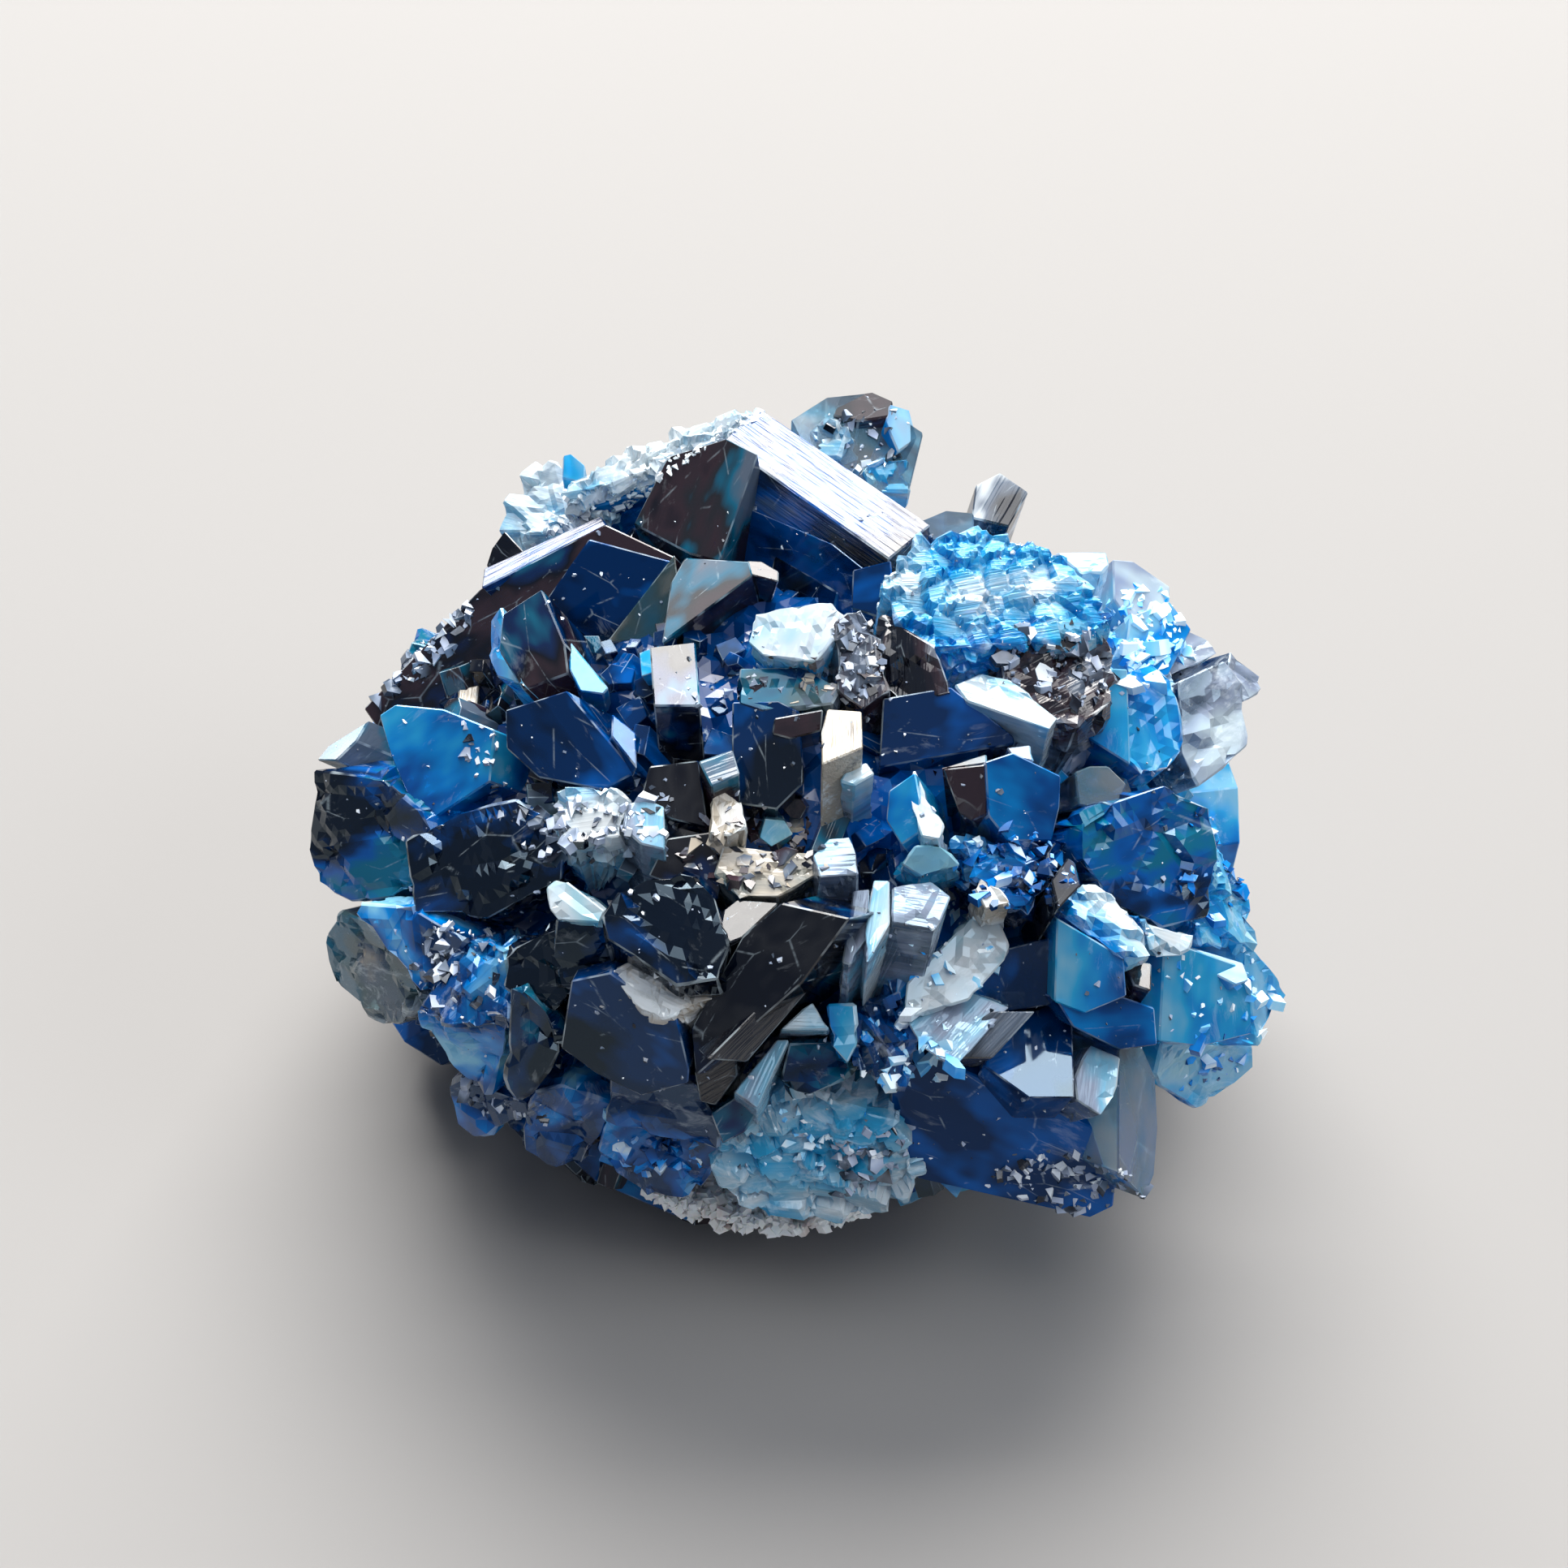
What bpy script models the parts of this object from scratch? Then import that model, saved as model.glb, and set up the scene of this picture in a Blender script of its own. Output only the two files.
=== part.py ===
"""A cluster of intergrown blue euclase crystals, 71 mm wide, 60 mm deep and 48 mm high.

The crystals grew together from one groundmass, so they are one solid with a flat cut base.
A crust of white matrix is left under the front rim. It is a second solid.

Lengths in the tables are millimetres. The object stands on z = 0 with its origin under its
middle, +X to the right and +Y to the back.
"""

import math
import random

import bmesh
import bpy
from mathutils import Matrix, Vector

MM = 0.001

# Groundmass: the rounded mass that the crystals grow from.
GROUND_MIDDLE = (-1, 0.5, 17)
GROUND_RADII = (31, 25.5, 24)
GROUND_LUMP = 0.04

# Crystals that cover the back and the flanks: rings of (height, count, first and last azimuth).
# Azimuth 0 is the right side and 90 the back.
BACK_RINGS = (
    (5, 11, -30, 210),
    (12, 11, -20, 200),
    (20, 10, -6, 186),
    (28, 9, 10, 170),
    (36, 7, 24, 156),
    (41, 5, 35, 140),
)
BACK_REACH = (1.04, 1.1)
BACK_WIDTH = (8, 14)
BACK_ROOT = 10
BACK_SEED = 31
# Low crystals under the front rim.
FOOT_RING = (5, 10, 212, 328)
FOOT_REACH = (1.0, 1.04)
# Root of a seeded crystal against its end.
TAPER = (1, 1.25)

# White matrix: overlapping plates along an arc under the front rim.
CRUST_PLATES = 9
CRUST_ARC = (249, 278)
CRUST_RADII = (27.5, 25.7)
CRUST_HEIGHT = 10
CRUST_SAG = 1.5
CRUST_PLATE = (6, 5, 3)
CRUST_CORNERS = 7
CRUST_SEED = 7
CLEARANCE = 0.3

CRYSTAL_BLUE = (0.03, 0.1, 0.3)
MATRIX_WHITE = (0.75, 0.73, 0.7)

# Each crystal is the middle of its end face, the way that face looks (turn from the front
# towards the right, then lift above the horizontal, in degrees), the run from the end face
# to its root, the size of its root against its end, and the outline of the end face.

# The roof-shaped crystal that crosses the back of the top, with its broken crest.
RIDGE = (
    ("ridge_band", (1.5, 9, 46.5), (0, 86), (-1, -5, -17), 0.95,
     ((-7, 4.5), (4.5, -8), (7.5, -4.5), (-4.5, 8.5))),
    ("ridge_left", (-7, 10, 44.5), (-40, 38), (2, 4, -16), 0.95,
     ((3.5, -3.5), (3, 4.5), (0, 4.5), (-4, 1.5), (-4.5, -4), (1, -4))),
    ("ridge_crest", (-11, 15.5, 44), (-20, 75), (3, 5, -14), 1.0,
     ((-5, -3.5), (-5, -5), (-2.5, -3.5), (4, 2.5), (6, 6.5), (2, 3.5))),
)

# The long prism on the left shoulder, and the tilted prism that leans in front of it.
LEFT_PRISM = (
    ("left_face", (-19, 3, 37), (-15, 38), (3, 8, -10), 0.95,
     ((9.5, 7.5), (4, 9), (-4.5, 3), (-12, -7), (-10.5, -8.5), (-2.5, -7), (9, 2))),
    ("left_strip", (-18.5, 8.5, 41), (0, 84), (2, 5, -8), 1.0,
     ((-4, -4), (4.5, 2.5), (4, 3.5), (-4, -2))),
    ("tilt_end", (-18, -3, 41.5), (-10, 42), (7, 1, -12), 1.0,
     ((-0.5, -3), (2.5, -1.5), (2, 0.5), (0, 4), (-2.5, 2), (-2.5, -0.5))),
    ("tilt_rim", (-20.5, -1, 39.5), (-70, 30), (6, 2, -10), 1.0,
     ((-3.5, 0), (-2, -1.5), (1, -1.5), (4.5, 0.5), (-3, 1.5))),
    ("tilt_low", (-11.5, -11, 40.5), (20, 80), (-2, 5, -8), 1.2,
     ((-0.8, 0.4), (0, -2.6), (0.8, 0.2), (-0.2, 2.2))),
    ("tilt_side", (-14.5, -4.5, 40.5), (40, 72), (0, 4, -8), 1.1,
     ((-1.2, -1), (0, -2), (0.6, -1.8), (0.6, 2.8), (-0.8, 0.8))),
    ("behind_tilt", (-15.5, -10.5, 39.5), (-15, 40), (4, 5, -8), 1.0,
     ((-0.5, 3.5), (-4.5, 1.5), (-4, -1), (-1.5, -2.5), (3, -2.5), (5, -1))),
)

# Blocks and plates across the middle of the top.
TOP = (
    ("box", (-8, -8.5, 43.5), (0, 87), (0.5, 0, -14), 1.0,
     ((1, 3.5), (-2, 3), (-1.5, -2.5), (1.5, -2.5))),
    ("cyan", (-0.5, -6.5, 45.5), (0, 70), (1, 3, -8), 0.8,
     ((1.5, -2), (3.5, 1.5), (2.5, 2.5), (-1, 2), (-2.5, 1.5), (-3, -0.5), (-2, -1.5))),
    ("plate", (-6.5, 1.5, 43), (-15, 62), (1, 4, -8), 0.95,
     ((-2.5, 0), (-2, -4.5), (3, 1.5), (2.5, 2.5), (-2, 2))),
    ("plate_end", (-2.5, 3, 43.5), (10, 84), (-1, 4, -7), 1.0,
     ((0.8, -1.4), (1, -0.4), (0, 0.8), (-1, 1), (-1, -0.4))),
    ("striped", (2.5, -13.5, 43), (0, 85), (0, 1, -12), 1.0,
     ((-1.2, -2.4), (1.4, -1), (1.4, 2.2), (-0.8, 2.4), (-1.2, 0.4))),
    ("striped_foot", (3.5, -15, 41), (5, 78), (0, 2, -8), 1.1,
     ((1.2, 0), (0.8, 1), (-0.4, 0.6), (-1, -0.4), (-0.2, -0.8))),
    ("valley", (-2, -12.5, 40.5), (-12, 48), (0, 5, -9), 1.0,
     ((1, -3.5), (2.5, -1.5), (1.5, 3), (0, 3.5), (-3, 3), (-2, -3.5))),
    ("valley_brow", (-0.5, -11.5, 42), (5, 40), (0, 5, -7), 1.0,
     ((-1.4, -0.4), (-0.2, -0.8), (1.8, -0.4), (2, 1), (-1.2, 0.6))),
    ("ledge", (-1, -9, 43), (0, 62), (0, 3, -9), 1.0,
     ((-3, 1.5), (-3, -1), (-1.5, -1.5), (3, -1), (3.5, 0), (1.5, 1.5))),
    ("cracks", (4, -7.5, 44.5), (10, 55), (0, 3, -9), 1.0,
     ((1.5, 1), (0.5, 3.5), (-1.5, 2.5), (-2, -2), (-0.5, -3.5), (1.5, -2.5))),
    ("navy_notch", (7, -7, 43.5), (-25, 45), (1, 5, -8), 1.0,
     ((0.5, -2.5), (3.5, -1), (1.5, 1.5), (-2.5, 2.5), (-1, -2))),
    ("navy_gap", (5, -0.5, 44.5), (-20, 50), (1, 4, -8), 1.0,
     ((1, -1.8), (1.4, 0), (0.6, 2.2), (-1.8, 1), (-1.2, -1.6))),
)

# The rough fibrous crystal and the scaly one under it.
TOP_RIGHT = (
    ("rough", (12.5, -2.5, 46), (5, 66), (-1, 2, -12), 1.05,
     ((0, 4.5), (-4, 4), (-6.5, 2), (-7, 0.5), (-6, -2.5), (-4, -4), (5.5, -4), (8, -2.5), (7, 0.5),
      (4.5, 3))),
    ("scaly", (17, -6.5, 42.5), (20, 60), (-2, 2, -10), 1.05,
     ((-4, 0), (-3, -3), (0, -4), (3, -3), (4.5, 0.5), (3.5, 2.5), (0.5, 3.5), (-3.5, 2.5))),
    ("band_face", (12, -9.5, 42), (5, 82), (0, 3, -8), 1.1,
     ((1.8, -2), (2.4, -1.2), (0.4, 1.8), (-0.6, 2), (-1.4, 1.4), (-1.4, 0.4))),
    ("dark_under", (9.5, -10.5, 40.5), (5, 40), (0, 6, -9), 1.0,
     ((4.5, -0.5), (0.5, 3), (-4, 2.5), (-4.5, -2), (4.5, -1))),
    ("white_top", (20.5, 6, 41.5), (0, 84), (-1, -1, -9), 1.1,
     ((1.4, 1.4), (-2.2, 1.2), (-0.6, -0.8), (0.8, -0.8), (1.4, 0))),
    ("teal_piece", (11, 10, 42), (0, 60), (0, -2, -8), 1.1,
     ((-2.2, 0.4), (-1.4, -1.2), (1.6, -0.8), (1.6, 1), (-0.4, 1.2))),
)

# Pale and glassy crystals down the right side.
RIGHT = (
    ("sky", (23.5, -6.5, 37.5), (25, 55), (-3, 5, -9), 0.9,
     ((-2.5, -1.5), (-1.5, -3), (0.5, -3.5), (2, -2.5), (3, 2.5), (2, 4), (0.5, 4), (-2, 0.5))),
    ("sky_flat", (20.5, -6, 39), (-5, 50), (0, 5, -9), 1.0,
     ((-2.5, -1.5), (2, -4), (1.5, 2.5), (0.5, 2.5))),
    ("grey_block", (30, -1.5, 33.5), (40, 45), (-6, 5, -9), 0.95,
     ((1.5, -2), (3, 1.5), (2.5, 3.5), (-2, 4), (-4.5, -0.5), (-4.5, -3), (1, -2.5))),
    ("grey_back", (28, 3, 36), (30, 70), (-5, 4, -9), 1.0,
     ((2, 0.4), (0.4, 2.2), (-2.2, 1.2), (-2.8, -1.2), (2, -1))),
    ("tip_right", (33.5, 7, 30), (60, 50), (-7, 2, -6), 1.1,
     ((1.6, -1), (0.8, 2.2), (-1.2, 1.4), (-1.8, -1), (0.6, -1.6))),
    ("shard_a", (24.5, 6.5, 38.5), (20, 60), (-5, 3, -9), 1.0,
     ((-1, 3), (-2, 0), (-1.5, -2), (1.5, -2.5), (2.5, 0), (0.5, 2.5))),
    ("shard_b", (25, 2, 37.5), (30, 60), (-5, 3, -9), 1.0,
     ((3.5, 0), (3, 2.5), (-0.5, 2.5), (-2, 0.5), (-2.5, -2), (0, -2.5))),
    ("chip", (19.5, -12.5, 37.5), (0, 50), (-2, 5, -8), 1.0,
     ((1.2, -1.6), (2, 0.2), (0.8, 1.4), (-0.4, 1.4), (-1.4, 1), (-1.2, -1.2))),
    ("sparkle", (23, -16, 35), (25, 35), (-6, 6, -8), 1.0,
     ((-0.5, -5), (3, -5.5), (4.5, -2), (5, 1.5), (2, 4), (-2, 4), (-4.5, 3.5), (-5, 1), (-3.5, -2.5))),
    ("right_upper", (28.5, -14.5, 30), (40, 40), (-8, 4, -5), 1.0,
     ((-3.5, -2.5), (0.5, -4.5), (2, -2), (1.5, 5), (-1, 3), (-3, 0.5))),
    ("right_azure", (27, -21, 26.5), (25, 30), (-7, 6, -4), 1.0,
     ((3, -4), (3.5, -0.5), (3, 1), (-0.5, 3.5), (-2.5, 4), (-4, -2), (-1, -3.5))),
    ("right_lobe", (32, -17.5, 22.5), (50, 25), (-10, 3, -3), 1.1,
     ((0, 4.5), (-1, 3), (-2, -3), (2.5, -2), (2, 0))),
    ("right_low", (28, -20.5, 18), (35, 8), (-8, 7, 0), 1.0,
     ((-4, 5), (-4.5, 2.5), (-4, 1), (-0.5, -3.5), (1.5, -4), (5, -3), (5, -1))),
    ("right_white", (28.5, -19.5, 27.5), (10, 80), (-3, 3, -8), 1.1,
     ((0.2, -1.4), (1.2, -1.2), (1.2, 0.2), (-2, 2), (-1.4, 0))),
    ("right_mid", (24, -20, 31), (25, 45), (-4, 5, -6), 1.0,
     ((1.8, -0.4), (-1.6, 2.2), (-1.2, -1.2), (1, -1))),
    ("beige_small", (22, -23, 31), (10, 80), (-1, 3, -8), 1.1,
     ((0.8, 0.6), (-1, 1.2), (-0.8, -0.8), (0.2, -1.4))),
    ("vivid", (18.5, -23.5, 32), (-10, 35), (-1, 7, -6), 1.05,
     ((0, -3), (2.5, -1.5), (2, 1), (-2.5, 3), (-2, -2.5))),
    ("sparkly_tri", (19.5, -21, 34), (10, 70), (-1, 4, -8), 1.0,
     ((-1, 2.5), (-3, 1), (-2, 0), (0.5, -3), (2.5, -3), (2, 0), (0, 2.5))),
)

# Small crystals in the middle of the front.
MIDDLE = (
    ("cube_left", (10.5, -16.5, 40.5), (-30, 25), (2, 6, -9), 1.0,
     ((0.8, 2.6), (-2, 1.2), (-0.2, -1.2), (0.8, -1.4), (1.6, -0.6))),
    ("cube_right", (14, -16.5, 40.5), (25, 30), (-2, 6, -9), 1.0,
     ((-2, 3), (-2.5, -0.5), (-1.5, -2.5), (1.5, -3.5), (2.5, -1.5), (3, 0.5), (0, 3))),
    ("cube_top", (10.5, -14, 41.5), (0, 84), (1, 3, -8), 1.0,
     ((1.4, -0.4), (1.4, 0.4), (-1.6, -0.8), (-0.8, -0.8))),
    ("cube_top2", (14, -13, 41), (10, 84), (0, 3, -8), 1.0,
     ((1, 0.6), (-0.6, 0.6), (-0.4, -0.2), (0.8, -0.8))),
    ("blue_left", (6.5, -17, 40), (-35, 40), (3, 5, -9), 1.1,
     ((-0.2, 2.4), (-1.4, 0.6), (-0.8, -1.2), (0.8, -2.2), (1.6, -1), (0.8, 1))),
    ("blue_tri", (8, -17.5, 40.5), (15, 80), (1, 4, -9), 1.2,
     ((0.5, -1.5), (0, 3), (-1, 1), (-1, -2), (0, -2.5))),
    ("blue_low", (8, -20, 38.5), (0, 30), (0, 5, -7), 1.2,
     ((2, -0.4), (0.8, 0.8), (-0.8, 0.8), (-1.6, -0.4), (-0.4, -1.2))),
    ("step_a", (8, -22.5, 37), (0, 83), (-1, 2, -10), 1.1,
     ((-2.4, -1.4), (0.4, -2), (1.4, 0.6), (0.2, 1.8), (-2.2, 1.2))),
    ("step_b", (2.5, -20, 39), (0, 80), (0, 2, -9), 1.1,
     ((-1.8, -0.2), (-1.4, -1.8), (1, -1.6), (1, 0), (0.6, 1.4), (-0.8, 1.2))),
    ("blade_a", (5, -24, 37), (-10, 78), (0, 3, -9), 1.1,
     ((0.5, 0), (0, 3), (-1, 3), (-1, -1), (-0.5, -3))),
    ("blade_b", (3.5, -23.5, 36.5), (-20, 75), (0, 3, -9), 1.1,
     ((0.5, -3), (1, -0.5), (0, 2.5), (-1, 2), (0, -3))),
    ("granular", (13.5, -19, 37), (10, 50), (-1, 5, -7), 1.0,
     ((-3, 2), (-2.5, -0.5), (0.5, -3.5), (2.5, -1.5), (3, 1))),
    ("cream", (12, -21, 36.5), (0, 70), (0, 3, -7), 1.1,
     ((-1, 0.2), (-0.4, -1.2), (1.2, -0.8), (0.6, 0.2), (-0.6, 1))),
    ("wedge", (17, -20, 37), (10, 70), (-1, 3, -8), 1.1,
     ((0.6, 0.8), (0.2, 1.2), (-1.2, -0.2), (-1.2, -2.2), (0.6, -0.8))),
    ("silver_small", (-5, -14.5, 41.5), (-10, 76), (0, 2, -9), 1.0,
     ((-1.6, 0), (-0.4, -1.8), (1.2, -0.6), (0.4, 1.2))),
    ("beige_rough", (-5, -17, 39.5), (0, 74), (0, 2, -9), 1.0,
     ((0.4, -1.6), (1.4, -1), (1.2, 1), (0, 1.8), (-0.8, 1.2), (-0.8, -1.4))),
    ("silver_steps", (-10, -17, 38.5), (-10, 74), (0, 2, -9), 1.1,
     ((-0.2, 1.8), (-1.6, 1.4), (-1.4, -0.4), (0, -1.4), (1.6, -1.6), (1, 1.6))),
    ("silver_shards", (-14, -15.5, 38.5), (-25, 62), (1, 3, -9), 1.1,
     ((0, -2.5), (3, -1), (2.5, 1.5), (0.5, 2), (-2, 1), (-2, -1))),
    ("dark_mid", (-8, -15, 39), (0, 45), (0, 5, -7), 1.0,
     ((-1.8, 2), (-2.4, -0.2), (-0.4, -1.4), (2, -2), (1.4, 2.4))),
    ("dark_mid_b", (-7, -18.5, 36.5), (0, 45), (0, 5, -7), 1.0,
     ((2, -0.6), (1.2, 2), (-1.6, 1.6), (-2.8, -0.8), (1.6, -2.4))),
    ("cream_row", (-2.5, -20, 37), (0, 66), (0, 4, -8), 1.0,
     ((-2.5, 2), (-3, 0), (-1.5, -1.5), (1, -1.5), (3.5, 0), (3, 1.5))),
)

# The big dark prism that lies across the front, and the boulder beside it.
LOWER_MIDDLE = (
    ("black_top", (-3.5, -22.5, 36), (0, 85), (0, 2, -8), 1.0,
     ((-1.6, -1), (-1, -2.2), (-0.2, -1.8), (2, 0.8), (2, 1), (-0.6, 1.2), (-1.4, 0.4))),
    ("black_face", (-3, -26.5, 33.5), (-25, 30), (5, 7, -6), 1.0,
     ((-3.5, -4), (-2.5, -7), (3, 1.5), (5, 6.5), (0.5, 6), (-1.5, 3))),
    ("black_band", (0, -25.5, 32), (35, 28), (-2, 7, -6), 1.0,
     ((-7.5, -1), (-5, -2.5), (5.5, 2), (4.5, 3))),
    ("black_end", (-5.5, -27.5, 26), (-5, 20), (2, 7, -5), 1.0,
     ((0, -2.2), (1.4, 0.2), (1.2, 2.2), (-1.4, 0.2), (-1, -2))),
    ("boulder", (-8.5, -24, 36.5), (-5, 55), (0, 4, -9), 1.05,
     ((1.5, 3.5), (-1.5, 3), (-3, 2), (-4, 0.5), (-3.5, -1), (1, -3.5), (3.5, -3), (4, -1), (3, 2))),
    ("crescent", (-9, -24, 31.5), (0, 82), (0, 1, -9), 1.0,
     ((-1.5, 2.5), (-3, 1.5), (-3, 0.5), (-1, -2), (0.5, -2.5), (3.5, -0.5))),
    ("cyan_small", (-15, -21, 35.5), (-10, 62), (1, 4, -6), 1.0,
     ((2.6, -0.2), (-0.2, 1.4), (-1, 1.4), (-1.4, 0.8), (-1, -0.6), (-0.2, -1.2), (2.4, -1))),
    ("purple", (-11, -27, 28.5), (-12, 22), (1, 8, -4), 1.0,
     ((-4, 4), (-4.5, -1), (-2, -2.5), (1, -3.5), (4, -2), (4, -1), (3, 2.5), (-1.5, 5))),
    ("purple_b", (-14, -22.5, 32.5), (-5, 30), (1, 6, -6), 1.0,
     ((-1.6, 2), (-2, -0.6), (-1, -2.4), (2, -1.4), (2.2, -0.2), (1.4, 1.8))),
    ("lavender", (0.5, -26.5, 30.5), (0, 60), (0, 4, -6), 1.2,
     ((-1.8, -0.6), (1.2, -0.6), (0.2, 1.2))),
    ("silver_long", (-2.5, -28.5, 27.5), (-20, 62), (0, 4, -7), 1.1,
     ((-1.4, -1.6), (0.4, -2.2), (1, 2.6), (0.2, 2.4))),
    ("sky_block", (2.5, -27, 30), (0, 55), (0, 5, -6), 1.1,
     ((0.8, 1.6), (-0.8, 1.6), (-0.6, -1), (0.4, -2), (1, -0.8))),
    ("blue_granular", (5, -26.5, 28.5), (5, 45), (0, 6, -5), 1.0,
     ((2.5, 0), (1.5, 3), (-1.5, 2), (-2, -0.5), (-1.5, -2), (1.5, -3))),
    ("green_lump", (1, -27, 26.5), (0, 40), (0, 6, -5), 1.05,
     ((2.4, -0.4), (1.8, 1.8), (-1.8, 1.4), (-2.4, -1.8), (-0.4, -2))),
    ("purple_block", (-4.5, -28.5, 23), (-10, 45), (0, 5, -5), 1.1,
     ((-1.4, 0), (-0.4, -1.8), (1, -0.8), (1.6, 0.6), (0.2, 1.4))),
)

# The navy block at the lower right, with its white end face.
LOWER_RIGHT = (
    ("big_white", (15, -27, 26.5), (0, 84), (-0.5, 1, -14), 1.0,
     ((2, -3), (2.5, 3), (2, 4), (-2.5, 0.5), (-2.5, -1), (0, -3))),
    ("silver", (19, -28, 25.5), (20, 80), (-2, 2, -12), 1.0,
     ((-1.5, -0.5), (-0.5, -2), (1, -1), (2.5, 1.5), (1, 3), (-1, 1))),
    ("grey_side", (22.5, -26.5, 20.5), (45, 25), (-6, 6, -4), 1.0,
     ((-3, -2.5), (-1.5, -6), (0, -5), (1.5, -2), (2.5, 1.5), (2, 5), (0, 5.5))),
    ("navy_front", (14, -27, 18), (0, 14), (0, 10, -1), 1.0,
     ((-5.5, 7.5), (-8, 5.5), (-8, 0.5), (-6, -3), (6, -6.5), (7.5, -5.5), (7.5, -2), (5.5, 1.5))),
    ("brown_stripe", (13, -26.5, 29), (0, 50), (-1, 5, -8), 1.0,
     ((0, 1.5), (-3, -0.5), (-2, -1.5), (0.5, -1.5), (3.5, 1.5))),
    ("pitted", (9.5, -26, 29.5), (-15, 78), (0, 2, -10), 1.1,
     ((1, -3), (3.5, 2), (0.5, 2.5), (-3, 0), (-1.5, -2))),
    ("greenish", (10, -23, 31.5), (-10, 68), (0, 2, -9), 1.05,
     ((-3, -1.5), (-3, -4), (1, -2), (3, 1), (3, 2), (2, 4), (0.5, 3.5))),
    ("blue_shard", (14, -22.5, 29.5), (0, 35), (-1, 6, -6), 1.0,
     ((2.5, -1.5), (2.5, 3), (-1.5, 2), (-3, -1), (-0.5, -2), (2, -1.5))),
    ("right_fill", (20, -25, 28.5), (10, 35), (-2, 6, -5), 1.0,
     ((3, -2), (3, 0.5), (1, 1.5), (-3.5, 2), (-2.5, 0), (0.5, -2))),
)

# Dark and azure crystals down the left side.
LEFT = (
    ("azure_left", (-25, -7.5, 36), (-20, 42), (5, 5, -8), 1.0,
     ((1, -4.5), (4.5, -1), (4, 2.5), (0, 3), (-3.5, 2.5), (-4.5, 1.5), (-3, -1), (-1, -3.5))),
    ("far_left", (-30, -10, 29.5), (-40, 30), (8, 5, -4), 1.05,
     ((4.5, -1.5), (6, 3), (3.5, 4.5), (-0.5, 5), (-6.5, 2.5), (-5, -3), (-3.5, -5), (0, -4.5))),
    ("far_left_crest", (-32.5, -2.5, 32), (-20, 80), (6, 3, -7), 1.1,
     ((0.8, 0.6), (0.8, 2.6), (-1, -0.4), (-1.2, -1.8), (0.2, -1.4))),
    ("low_left_lobe", (-30.5, -15, 21), (-50, 15), (9, 5, -2), 1.05,
     ((6, 3), (3, 6.5), (-3.5, 3.5), (-5.5, 0), (-5, -2), (-4, -3.5), (2.5, -2), (5, 0))),
    ("mid_left", (-21, -15, 33.5), (-15, 45), (2, 6, -7), 1.05,
     ((-5.5, 0), (-4, -4.5), (1, -4), (5.5, -0.5), (5, 3), (1.5, 4), (-2.5, 2.5))),
    ("left_low_dark", (-17, -22.5, 30.5), (-20, 30), (2, 7, -5), 1.0,
     ((1, 3.5), (-2.5, 1), (-2, -1.5), (1.5, -2.5), (2.5, -0.5))),
    ("left_fill", (-25.5, -18.5, 29), (-30, 30), (4, 6, -5), 1.0,
     ((-5.5, 0.5), (1, -3.5), (3.5, 1.5), (-1, 2))),
    ("sparkly_top", (-22, -21.5, 28.5), (-20, 50), (3, 5, -5), 1.0,
     ((0.5, -3), (3.5, -1.5), (3, 0.5), (2, 2.5), (0.5, 3), (-1, 2.5), (-3, -2), (-3, -3))),
    ("sparkly_front", (-22.5, -22.5, 23.5), (-25, 5), (4, 8, -2), 1.0,
     ((3.5, 4), (-4, 1), (-3.5, -0.5), (0, -3.5), (1.5, -4), (3, 0))),
    ("low_left_b", (-21.5, -23, 17), (-30, 10), (4, 9, -1), 1.0,
     ((3.5, 1), (3, 2), (-2.5, 1), (-3.5, 0), (-2.5, -3), (-1, -3))),
    ("low_mid_face", (-17.5, -25, 26.5), (-10, 15), (1, 8, -4), 1.0,
     ((-1.5, -3), (-1, -4.5), (1, -2), (2, 0), (1, 2.5), (-0.5, 4), (-1.5, 4))),
)

# Crystals of the lower rim, which hangs over the foot.
BOTTOM = (
    ("blue_low_left", (-16.5, -25, 17.5), (-10, 5), (2, 9, -1), 1.0,
     ((4, 3), (0.5, 4), (-1.5, 3), (-2.5, 0), (-2.5, -3), (-1, -4), (1.5, -4), (3, 0))),
    ("dark_low", (-9, -27, 21.5), (-5, 15), (1, 8, -3), 1.0,
     ((-3.5, 2.5), (-4, -1), (-1, -2), (3.5, -2.5), (3.5, 0), (2, 2.5))),
    ("bottom_mass", (1, -28, 18), (0, 12), (0, 9, 0), 1.05,
     ((-7, -1), (-5.5, -4), (-3, -5.5), (3, -5.5), (6, -4), (7, -2), (6, 1), (5, 3), (0, 5.5), (-1.5, 5),
      (-4, 4), (-6, 2))),
    ("bottom_left_fill", (-9.5, -26.5, 17), (-10, 5), (1, 9, 0), 1.0,
     ((3, -4), (4.5, 0.5), (2.5, 4), (-0.5, 5), (-3.5, 3), (-4.5, -2.5), (-1, -5))),
)

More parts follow.
